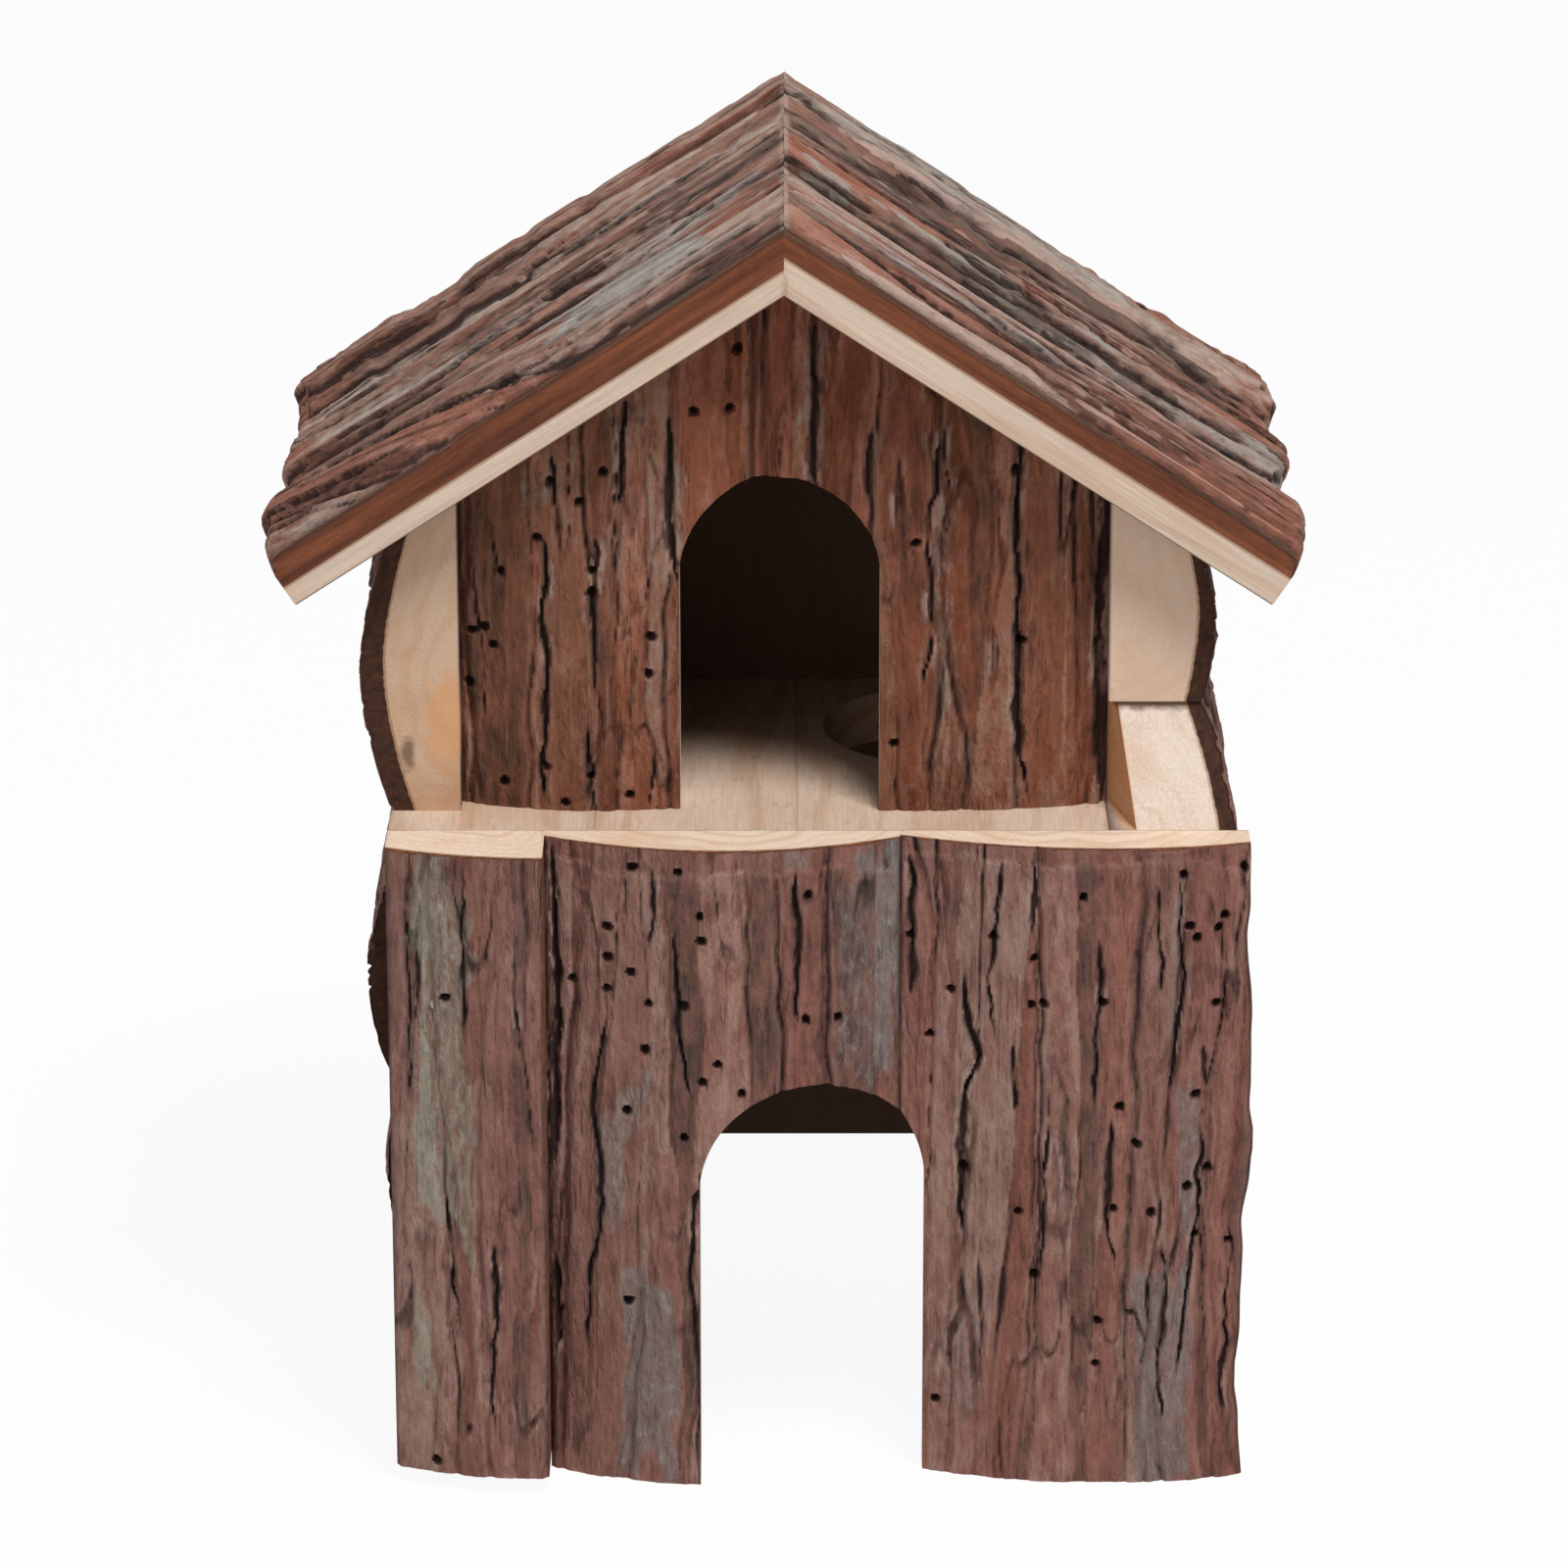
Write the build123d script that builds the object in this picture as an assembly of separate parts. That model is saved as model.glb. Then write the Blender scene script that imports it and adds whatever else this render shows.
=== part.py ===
from build123d import *
import math
import os
from dataclasses import dataclass

# A two-storey log cabin for small animals, nailed up from sawn half-logs that keep
# their bark. Millimetres, +Z up, the front looks along -Y. X = 0 is the ridge line,
# Z = 0 the ground, and Y = 0 the middle of the whole depth.


@dataclass(frozen=True)
class Slab:
    """Section of a sawn half-log: a flat back and an arched bark face."""

    width: float
    near: float
    crown: float
    far: float

    def thickness(self, across):
        """Thickness at a distance across the grain, on the arc through the three heights."""
        points = ((0, self.near), (self.width / 2, self.crown), (self.width, self.far))
        (ax, ay), (bx, by), (cx, cy) = points
        a2, b2, c2 = (x * x + y * y for x, y in points)
        twice = 2 * (ax * (by - cy) + bx * (cy - ay) + cx * (ay - by))
        ux = (a2 * (by - cy) + b2 * (cy - ay) + c2 * (ay - by)) / twice
        uy = (a2 * (cx - bx) + b2 * (ax - cx) + c2 * (bx - ax)) / twice
        radius = math.hypot(ax - ux, ay - uy)
        return uy + math.sqrt(radius**2 - (across - ux) ** 2)

    def log(self, length):
        """The half-log: x across the grain, y from flat back to bark, z along the grain."""
        sawn = Polyline((0, self.near), (0, 0), (self.width, 0), (self.width, self.far))
        bark = ThreePointArc((self.width, self.far), (self.width / 2, self.crown), (0, self.near))
        return extrude(make_face(sawn.edges() + bark.edges()), amount=length, dir=(0, 0, 1))


# Rooms and heights
room_width = 123.0
room_depth = 89.7
floor_height = 130.3
floor_thickness = 10.0
upper_room_height = 104.0
rear_gap_height = 31.3

# Front panel, three half-logs side by side, grain upright
front_left_width = 29.7
front_left_near = 11.0
front_left_crown = 15.5
front_left_far = 17.0
front_left_foot = 3.3
front_middle_width = 67.2
front_middle_near = 4.5
front_middle_crown = 13.0
front_middle_far = 5.0
front_right_near = 4.0
front_right_crown = 11.5
front_right_far = 8.0
panel_lip = 2.6

# Side walls, courses of half-logs laid on edge, grain front to back
left_edge = 13.5
left_bottom_edge = 8.5
left_bottom_crown = 12.5
left_second_edge = 11.5
left_second_crown = 14.8
left_third_crown = 18.0
left_upper_crown = 19.0
right_courses = ("bottom", "middle")
right_step = 22.0
right_edge = 18.0
right_lower_crown = 25.5
right_upper_crown = 20.2
roof_cut_trim = 2.4

# Gable and back wall, half-logs with upright grain
gable_left_width = 55.6
gable_edge = 7.0
gable_crown = 12.0
balcony_depth = 11.0
back_logs = ("left", "middle", "right")
back_edge = 6.5
back_crown = 11.3

# Doorways and the climbing hole
door_width = 43.0
door_height = 82.8
door_offset = 5.4
upper_door_width = 38.0
upper_door_height = 65.5
upper_door_offset = -0.8
hole_radius = 23.0
hole_side_margin = 7.8
hole_rear_margin = 5.7

# Slanted, flared front of the right lower wall, above the floor
cheek_run = 18.0
cheek_flare = 5.2

# Floor boards; the middle one takes the rest of the width
floor_left_board = 39.0
floor_right_board = 59.1

# Roof: half-logs with the grain from ridge to eave, on battens
roof_pitch = 33.2
roof_verge_edge = 11.7
roof_edge = 8.5
roof_crown = 15.0
eave_overhang = 9.5
roof_front_overhang = 10.0
roof_rear_overhang = 12.5
seat_gap = 0.3
batten_gap = 0.8
ridge_batten_width = 18.0
ridge_batten_side = 6.0
eave_batten_width = 10.0
eave_batten_height = 8.5

# Wire nails, heads punched a little below the bark
nail_radius = 0.6
nail_head_radius = 1.1
nail_head_height = 0.8
nail_set = 0.8
nail_clearance = 0.05
nail_stagger = 5.0
panel_nail_grip = 10.0
side_nail_grip = 12.0
back_nail_grip = 8.0
floor_nail_grip = 12.0
roof_nail_grip = 4.5

# Worked-out places; distances to the back count from the front panel's back face
slope_sin = math.sin(math.radians(roof_pitch))
slope_cos = math.cos(math.radians(roof_pitch))
slope_tan = slope_sin / slope_cos
half_room = room_width / 2
left_outer = -half_room - left_edge
panel_right = half_room + right_lower_crown + panel_lip
floor_under = floor_height - floor_thickness
floor_middle = floor_height - floor_thickness / 2
right_lower_top = floor_height + right_step
ridge_height = floor_height + upper_room_height
eave_seat = ridge_height - half_room * slope_tan
side_rear = room_depth + back_crown
gable_front = balcony_depth
gable_back = gable_front + gable_crown
gable_nail_line = gable_back - gable_edge / 2
hole_x = half_room - hole_side_margin - hole_radius
hole_y = room_depth - hole_rear_margin - hole_radius
roof_front = gable_front - roof_front_overhang
roof_rear = side_rear + roof_rear_overhang
roof_slope = (half_room + right_upper_crown + eave_overhang) / slope_cos
margin = 5.0
far_off = ridge_height + room_width

# Sections of the half-logs
front_right_width = panel_right - left_outer - front_left_width - front_middle_width
front_logs = {
    "left": Slab(front_left_width, front_left_near, front_left_crown, front_left_far),
    "middle": Slab(front_middle_width, front_middle_near, front_middle_crown, front_middle_far),
    "right": Slab(front_right_width, front_right_near, front_right_crown, front_right_far),
}
left_course = floor_under / 3
left_lower_logs = {
    "bottom": Slab(left_course, left_bottom_edge, left_bottom_crown, left_second_edge),
    "second": Slab(left_course, left_second_edge, left_second_crown, left_second_edge),
    "third": Slab(left_course, left_edge, left_third_crown, left_edge),
}
left_upper_log = Slab(eave_seat + roof_cut_trim - floor_height, left_edge, left_upper_crown, left_edge)
right_course = right_lower_top / len(right_courses)
right_lower_log = Slab(right_course, right_edge, right_lower_crown, right_edge)
right_lower_logs = dict.fromkeys(right_courses, right_lower_log)
right_upper_log = Slab(
    eave_seat + roof_cut_trim - right_lower_top, right_edge, right_upper_crown, right_edge
)
gable_logs = {
    "left": Slab(gable_left_width, gable_edge, gable_crown, gable_edge),
    "right": Slab(room_width - gable_left_width, gable_edge, gable_crown, gable_edge),
}
back_log = Slab(room_width / len(back_logs), back_edge, back_crown, back_edge)
roof_width = (roof_rear - roof_front) / 3
roof_logs = {
    "front": Slab(roof_width, roof_verge_edge, roof_crown, roof_edge),
    "middle": Slab(roof_width, roof_edge, roof_crown, roof_edge),
    "rear": Slab(roof_width, roof_edge, roof_crown, roof_verge_edge),
}
panel_crown = max(max(log.near, log.crown, log.far) for log in front_logs.values())
panel_back = (panel_crown - roof_rear) / 2

nodes = {}


def depth(y):
    """Y in the finished frame of a distance behind the front panel's back face."""
    return panel_back + y


def block(x0, x1, y0, y1, z0, z1):
    """A box by its limits, with y counted from the front panel's back face."""
    middle = ((x0 + x1) / 2, depth((y0 + y1) / 2), (z0 + z1) / 2)
    return Pos(*middle) * Box(x1 - x0, y1 - y0, z1 - z0)


def through_depth(face, y0, y1):
    """A face drawn in X and Z, carried from y0 back to y1."""
    return extrude(Plane.XZ.offset(-depth(y1)) * face, amount=y1 - y0, dir=(0, -1, 0))


def upright(section, x, y, z0, z1, bark):
    """A half-log with upright grain, bark to the front (-1) or the back (+1)."""
    if bark < 0:
        place = Plane((x, depth(y), z1), x_dir=(1, 0, 0), z_dir=(0, 0, -1))
    else:
        place = Plane((x, depth(y), z0), x_dir=(1, 0, 0), z_dir=(0, 0, 1))
    return place * section.log(z1 - z0)


def lying(section, side, y0, y1, z0):
    """A half-log on edge in a side wall, bark to the left (-1) or the right (+1)."""
    start = y1 if side < 0 else y0
    place = Plane((side * half_room, depth(start), z0), x_dir=(0, 0, 1), z_dir=(0, side, 0))
    return place * section.log(y1 - y0)


def in_a_row(logs, start):
    """Name, near edge and section of half-logs that lie side by side from start on."""
    for name, section in logs.items():
        yield name, start, section
        start += section.width


def log_at(logs, start, x):
    """Thickness at x of the half-log of such a row that x falls on."""
    for _, left, section in in_a_row(logs, start):
        if x < left + section.width:
            return section.thickness(x - left)
    raise ValueError(f"no half-log at {x}")


def archway(width, height, centre, z0):
    """A doorway's outline from z0 up, with a half-round head."""
    left, right = centre - width / 2, centre + width / 2
    spring = height - width / 2
    sides = Polyline((right, spring), (right, z0), (left, z0), (left, spring))
    head = ThreePointArc((left, spring), (centre, height), (right, spring))
    return make_face(sides.edges() + head.edges())


def above_roof_seat():
    """All that lies over the walls' slanted tops."""
    top = ridge_height - seat_gap / slope_cos
    low = top - far_off * slope_tan
    outline = Polyline(
        (0, top), (far_off, low), (far_off, far_off), (-far_off, far_off), (-far_off, low), (0, top)
    )
    return through_depth(make_face(outline.edges()), -margin, side_rear + margin)


def build_front_panel():
    """Three upright half-logs, with the lower doorway sawn through two of them."""
    doorway = archway(door_width, door_height, door_offset, -margin)
    opening = through_depth(doorway, -panel_crown - margin, margin)
    for name, x, section in in_a_row(front_logs, left_outer):
        foot = front_left_foot if name == "left" else 0
        log = upright(section, x, 0, foot, floor_height, -1)
        nodes[f"front_slab_{name}"] = log - opening


def build_side_walls():
    """Courses of half-logs on edge; the right wall's second course rises past the floor."""
    for name, foot, section in in_a_row(left_lower_logs, 0):
        nodes[f"left_wall_{name}_slab"] = lying(section, -1, 0, side_rear, foot)
    for name, foot, section in in_a_row(right_lower_logs, 0):
        nodes[f"right_wall_{name}_slab"] = lying(section, 1, 0, side_rear, foot) - cheek_cuts()
    seat = above_roof_seat()
    upper_left = lying(left_upper_log, -1, gable_front, side_rear, floor_height)
    upper_right = lying(right_upper_log, 1, gable_front, side_rear, right_lower_top)
    nodes["left_wall_top_slab"] = upper_left - seat
    nodes["right_wall_top_slab"] = upper_right - seat


def cheek_cuts():
    """What is sawn off the right wall's front above the floor: a slope and a flared cheek."""
    slope = Polyline(
        (depth(0), floor_height),
        (depth(gable_front), right_lower_top),
        (depth(gable_front), right_lower_top + margin),
        (depth(-margin), right_lower_top + margin),
        (depth(-margin), floor_height),
        (depth(0), floor_height),
    )
    slope_face = Plane.YZ.offset(half_room - margin) * make_face(slope.edges())
    sloped = extrude(slope_face, amount=right_lower_crown + 2 * margin, dir=(1, 0, 0))
    flare = Polyline(
        (half_room - margin, depth(0)),
        (half_room + cheek_flare, depth(0)),
        (half_room, depth(cheek_run)),
        (half_room - margin, depth(cheek_run)),
        (half_room - margin, depth(0)),
    )
    flare_face = Plane.XY.offset(floor_height) * make_face(flare.edges())
    return sloped + extrude(flare_face, amount=right_step + margin, dir=(0, 0, 1))


def build_gable():
    """Two upright half-logs between the side walls, with the upper doorway."""
    top = floor_height + upper_door_height
    doorway = archway(upper_door_width, top, upper_door_offset, floor_height - margin)
    opening = through_depth(doorway, gable_front - margin, gable_back + margin)
    seat = above_roof_seat()
    for name, x, section in in_a_row(gable_logs, -half_room):
        log = upright(section, x, gable_back, floor_height, ridge_height, -1)
        nodes[f"gable_slab_{name}"] = log - opening - seat


def build_back_wall():
    """Upright half-logs between the side walls, hung clear of the ground."""
    seat = above_roof_seat()
    for name, x, section in in_a_row(dict.fromkeys(back_logs, back_log), -half_room):
        log = upright(section, x, room_depth, rear_gap_height, ridge_height, 1)
        nodes[f"back_slab_{name}"] = log - seat


def floor_limits():
    """Name, left and right edge of each floor board."""
    first = left_outer + floor_left_board
    second = half_room - floor_right_board
    return (("left", left_outer, first), ("middle", first, second), ("right", second, half_room))


def build_floor():
    """Three sawn boards, front panel to back wall, with the climbing hole in the right one."""
    hole = Pos(hole_x, depth(hole_y), floor_height) * Cylinder(
        hole_radius, 2 * floor_thickness + margin
    )
    for name, x0, x1 in floor_limits():
        board = block(x0, x1, 0, room_depth, floor_under, floor_height)
        nodes[f"floor_board_{name}"] = board - hole


def roof_plane(side, y, along):
    """Local frame on a pitch's underside: x to the back, y out through the bark."""
    foot = (side * along * slope_cos, depth(y), ridge_height - along * slope_sin)
    return Plane(foot, x_dir=(0, 1, 0), z_dir=(slope_cos, 0, -side * slope_sin))


def roof_side_names():
    """Names and signs of the two pitches."""
    return (("left", -1), ("right", 1))


def build_roof_slabs():
    """Half-logs from ridge to eave, mitred upright where the pitches meet."""
    over = roof_crown * slope_tan + margin
    for side_name, side in roof_side_names():
        limits = sorted((0, side * far_off))
        half = block(*limits, roof_front - margin, roof_rear + margin, 0, far_off)
        for name, y, section in in_a_row(roof_logs, roof_front):
            start = roof_slope if side < 0 else -over
            log = roof_plane(side, y, start) * section.log(roof_slope + over)
            nodes[f"roof_slab_{side_name}_{name}"] = log & half


def batten_limits():
    """Front and rear end of the roof battens, between the gable and the back wall."""
    return gable_back + batten_gap, room_depth - batten_gap


def eave_batten_foot():
    """Distance down the slope of an eave batten's lower edge, just inside the side wall."""
    return (half_room - batten_gap) / slope_cos


def build_roof_battens():
    """Battens under the roof that hold its half-logs together and keep it in place."""
    y0, y1 = batten_limits()
    half = ridge_batten_width / 2
    shoulder = ridge_height - half * slope_tan
    outline = Polyline(
        (0, ridge_height),
        (half, shoulder),
        (half, shoulder - ridge_batten_side),
        (-half, shoulder - ridge_batten_side),
        (-half, shoulder),
        (0, ridge_height),
    )
    nodes["ridge_batten"] = through_depth(make_face(outline.edges()), y0, y1)
    strip = Box(
        y1 - y0, eave_batten_height, eave_batten_width, align=(Align.MIN, Align.MAX, Align.CENTER)
    )
    middle = eave_batten_foot() - eave_batten_width / 2
    for side_name, side in roof_side_names():
        nodes[f"{side_name}_eave_batten"] = roof_plane(side, y0, middle) * strip


def nail(length, radius=nail_radius, head=nail_head_radius, head_height=nail_head_height):
    """A wire nail along +Z, its head's top at the origin."""
    lift = (Align.CENTER, Align.CENTER, Align.MIN)
    return Cylinder(head, head_height, align=lift) + Cylinder(radius, length, align=lift)


def nail_bore(length, reach):
    """The hole that a nail leaves, open from its head back through the bark."""
    lift = (Align.CENTER, Align.CENTER, Align.MIN)
    wide = nail_head_radius + nail_clearance
    body = nail(
        length + nail_clearance, nail_radius + nail_clearance, wide, nail_head_height + nail_clearance
    )
    return body + Pos(0, 0, -reach) * Cylinder(wide, reach, align=lift)


def drive(group, places, length, pieces):
    """Nails of one length, with their holes in the pieces that they join.

    Each place is the plane of one nail's head, its z axis pointing along the nail.
    """
    bores = [place * nail_bore(length, margin) for place in places]
    for name in pieces:
        nodes[name] = nodes[name].cut(*bores)
    nodes[group] = Compound([place * nail(length) for place in places])


def front_nail_places():
    """Nails through the front panel into the wall ends and the floor boards' front ends."""
    wall_left = -half_room - left_bottom_edge / 2
    wall_right = half_room + right_edge / 2
    spots = [(x + log.width / 2, floor_middle) for _, x, log in in_a_row(front_logs, left_outer)]
    spots += [(wall_left, z + log.width / 2) for _, z, log in in_a_row(left_lower_logs, 0)]
    spots += [(wall_right, z + log.width / 2) for _, z, log in in_a_row(right_lower_logs, 0)]
    places = []
    for x, z in spots:
        y = depth(nail_set - log_at(front_logs, left_outer, x))
        places.append(Plane((x, y, z), x_dir=(1, 0, 0), z_dir=(0, 1, 0)))
    return places


def side_nail_place(side, section, foot, y, z):
    """Head of a nail that runs inwards through a side wall's half-log, whose foot is given."""
    x = side * (half_room + section.thickness(z - foot) - nail_set)
    return Plane((x, depth(y), z), x_dir=(0, 1, 0), z_dir=(-side, 0, 0))


def side_nail_places(side):
    """Nails through one side wall into the edges of the gable, the back wall and the floor."""
    lower, upper, upper_foot = left_lower_logs, left_upper_log, floor_height
    if side > 0:
        lower, upper, upper_foot = right_lower_logs, right_upper_log, right_lower_top
    back_line = room_depth + back_edge / 2
    upper_z = (upper_foot + eave_seat - upper.crown * slope_tan) / 2
    places = [side_nail_place(side, upper, upper_foot, y, upper_z) for y in (gable_nail_line, back_line)]
    for _, foot, section in in_a_row(lower, 0):
        z = (max(foot, rear_gap_height) + foot + section.width) / 2
        places.append(side_nail_place(side, section, foot, back_line, z))
    if side > 0:
        beside_hole = (gable_nail_line + hole_y - hole_radius) / 2
        foot = right_lower_top - right_course
        step_middle = floor_height + right_step / 2
        places.append(side_nail_place(side, right_lower_log, foot, gable_nail_line, step_middle))
        places.append(side_nail_place(side, right_lower_log, foot, beside_hole, floor_middle))
    return places


def back_nail_places():
    """Nails through the back wall into the floor boards' rear ends, clear of the climbing hole."""
    acrosses = [back_log.width / 2] * (len(back_logs) - 1) + [back_log.width - hole_side_margin / 2]
    places = []
    for i, across in enumerate(acrosses):
        x = -half_room + i * back_log.width + across
        y = depth(room_depth + back_log.thickness(across) - nail_set)
        places.append(Plane((x, y, floor_middle), x_dir=(1, 0, 0), z_dir=(0, -1, 0)))
    return places


def floor_nail_places():
    """Nails down through the left board into the wall below it."""
    x = -half_room - left_edge / 2
    top = floor_height - nail_set
    thirds = (room_depth / 3, room_depth * 2 / 3)
    return [Plane((x, depth(y), top), x_dir=(1, 0, 0), z_dir=(0, 0, -1)) for y in thirds]


def gable_nail_places():
    """Nails up through the floor into the feet of the gable's half-logs."""
    y = depth(gable_nail_line)
    low = floor_under + nail_set
    door_left = upper_door_offset - upper_door_width / 2
    door_right = upper_door_offset + upper_door_width / 2
    spots = ((door_left - half_room) / 2, (door_right + half_room) / 2)
    return [Plane((x, y, low), x_dir=(1, 0, 0), z_dir=(0, 0, 1)) for x in spots]


def roof_nail_places(side):
    """Nails through one pitch into its eave batten and the ridge batten."""
    y0, y1 = batten_limits()
    rows = ((ridge_batten_width / 4 / slope_cos, side), (eave_batten_foot() - eave_batten_width / 2, 0))
    places = []
    for _, front, section in in_a_row(roof_logs, roof_front):
        low, high = max(front, y0), min(front + section.width, y1)
        for along, stagger in rows:
            y = (low + high) / 2 + stagger * nail_stagger / 2
            lift = section.thickness(y - front) - nail_set
            seat = roof_plane(side, y, along)
            head = seat.origin + seat.y_dir * lift
            places.append(Plane(head, x_dir=(0, 1, 0), z_dir=-seat.y_dir))
    return places


def build_nails():
    """Every group of nails, with its holes."""
    front = [f"front_slab_{name}" for name in front_logs]
    left_lower = [f"left_wall_{name}_slab" for name in left_lower_logs]
    right_lower = [f"right_wall_{name}_slab" for name in right_lower_logs]
    boards = [f"floor_board_{name}" for name, _, _ in floor_limits()]
    back = [f"back_slab_{name}" for name in back_logs]
    drive(
        "front_panel_nails",
        front_nail_places(),
        panel_crown - nail_set + panel_nail_grip,
        front + left_lower + right_lower + boards,
    )
    drive(
        "left_wall_nails",
        side_nail_places(-1),
        left_upper_crown - nail_set + side_nail_grip,
        left_lower + ["left_wall_top_slab", "gable_slab_left", "back_slab_left"],
    )
    drive(
        "right_wall_nails",
        side_nail_places(1),
        right_lower_crown - nail_set + side_nail_grip,
        right_lower + ["right_wall_top_slab", "gable_slab_right", "back_slab_right", "floor_board_right"],
    )
    drive("back_wall_nails", back_nail_places(), back_crown - nail_set + back_nail_grip, back + boards)
    drive(
        "floor_nails",
        floor_nail_places(),
        floor_thickness - nail_set + floor_nail_grip,
        ["floor_board_left", left_lower[-1]],
    )
    drive(
        "gable_nails",
        gable_nail_places(),
        floor_thickness - nail_set + floor_nail_grip,
        boards + ["gable_slab_left", "gable_slab_right"],
    )
    for name, side in roof_side_names():
        slabs = [f"roof_slab_{name}_{part}" for part in roof_logs]
        drive(
            f"roof_nails_{name}",
            roof_nail_places(side),
            roof_crown - nail_set + roof_nail_grip,
            slabs + ["ridge_batten", f"{name}_eave_batten"],
        )


build_front_panel()
build_side_walls()
build_gable()
build_back_wall()
build_floor()
build_roof_slabs()
build_roof_battens()
build_nails()

os.makedirs("parts", exist_ok=True)
for node, shape in nodes.items():
    export_step(shape, f"parts/{node}.step")
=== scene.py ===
"""Looks of a small animal log cabin: barked half-logs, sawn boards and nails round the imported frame."""
import logging
import math
from dataclasses import dataclass, field, fields, replace
from enum import Enum
from typing import Callable, Iterable, Sequence

import bpy
import numpy as np
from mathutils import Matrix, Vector
from mathutils.geometry import tessellate_polygon


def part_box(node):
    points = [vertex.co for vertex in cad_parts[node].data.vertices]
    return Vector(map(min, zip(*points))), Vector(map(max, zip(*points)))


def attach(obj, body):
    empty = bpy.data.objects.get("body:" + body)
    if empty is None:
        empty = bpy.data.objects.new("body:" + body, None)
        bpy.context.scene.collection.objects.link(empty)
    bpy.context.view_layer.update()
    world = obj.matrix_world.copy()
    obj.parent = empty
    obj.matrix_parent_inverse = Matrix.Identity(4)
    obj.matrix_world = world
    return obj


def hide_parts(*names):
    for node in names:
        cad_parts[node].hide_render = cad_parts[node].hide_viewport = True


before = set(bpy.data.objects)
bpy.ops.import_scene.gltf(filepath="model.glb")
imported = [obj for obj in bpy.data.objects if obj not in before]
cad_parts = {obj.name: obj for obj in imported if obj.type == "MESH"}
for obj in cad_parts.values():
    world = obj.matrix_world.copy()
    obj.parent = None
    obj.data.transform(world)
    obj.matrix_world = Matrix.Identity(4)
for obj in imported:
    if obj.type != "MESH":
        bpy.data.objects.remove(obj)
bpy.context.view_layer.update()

LOG = logging.getLogger("log_cabin")
MM = 0.001
ROOF_PITCH = math.radians(33.2)
TINY = 1e-9
Field = np.ndarray
Point = tuple[float, float]
Span = tuple[float, float]
Colour = tuple[float, float, float, float]
Socket = bpy.types.NodeSocket
Tree = bpy.types.NodeTree


def eased(x: Field) -> Field:
    """Smooth step from 0 to 1 while x goes from 0 to 1."""
    x = np.clip(x, 0.0, 1.0)
    return x * x * (3.0 - 2.0 * x)


def linear(hex_colour: str) -> Colour:
    """Turns an sRGB hex colour such as #7d544b into linear light, with full alpha."""
    shares = [int(hex_colour[i : i + 2], 16) / 255 for i in (1, 3, 5)]
    return (*(s / 12.92 if s <= 0.04045 else ((s + 0.055) / 1.055) ** 2.4 for s in shares), 1.0)


def softened(values: Field, reach: int) -> Field:
    """Mean of a grid's values over a square of reach cells each way.

    Args:
        values: A grid of values.
        reach: Cells to each side that count.

    Returns:
        The grid of means.
    """
    window = 2 * reach + 1
    for axis in (0, 1):
        wide = np.pad(values, [(reach, reach) if i == axis else (0, 0) for i in (0, 1)], mode="edge")
        size = values.shape[axis]
        values = sum(np.take(wide, range(k, k + size), axis) for k in range(window)) / window
    return values


def highest(values: Field, reach: int) -> Field:
    """Greatest of a grid's values within reach cells across."""
    wide = np.pad(values, ((reach, reach), (0, 0)), mode="edge")
    return np.max([wide[k : k + len(values)] for k in range(2 * reach + 1)], axis=0)


@dataclass
class Plates:
    """Cells of a pattern: distance to the nearest border, offset from the middle and each cell's place."""

    edge: Field
    offset: Field
    column: Field
    row: Field


# Large numbers that scatter lattice points over the kept bits.
HASH_COLUMN, HASH_ROW, HASH_SALT, HASH_SEED, HASH_MIX = 374761393, 668265263, 144665, 9176, 1274126177
HASH_BITS, DICE_BITS = 0xFFFFFFFF, 0xFFFFFF
# Shares of a cell: how far from its border its middle keeps, and the room that is left to it.
CELL_MARGIN, CELL_FREE = 0.08, 0.84


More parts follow.
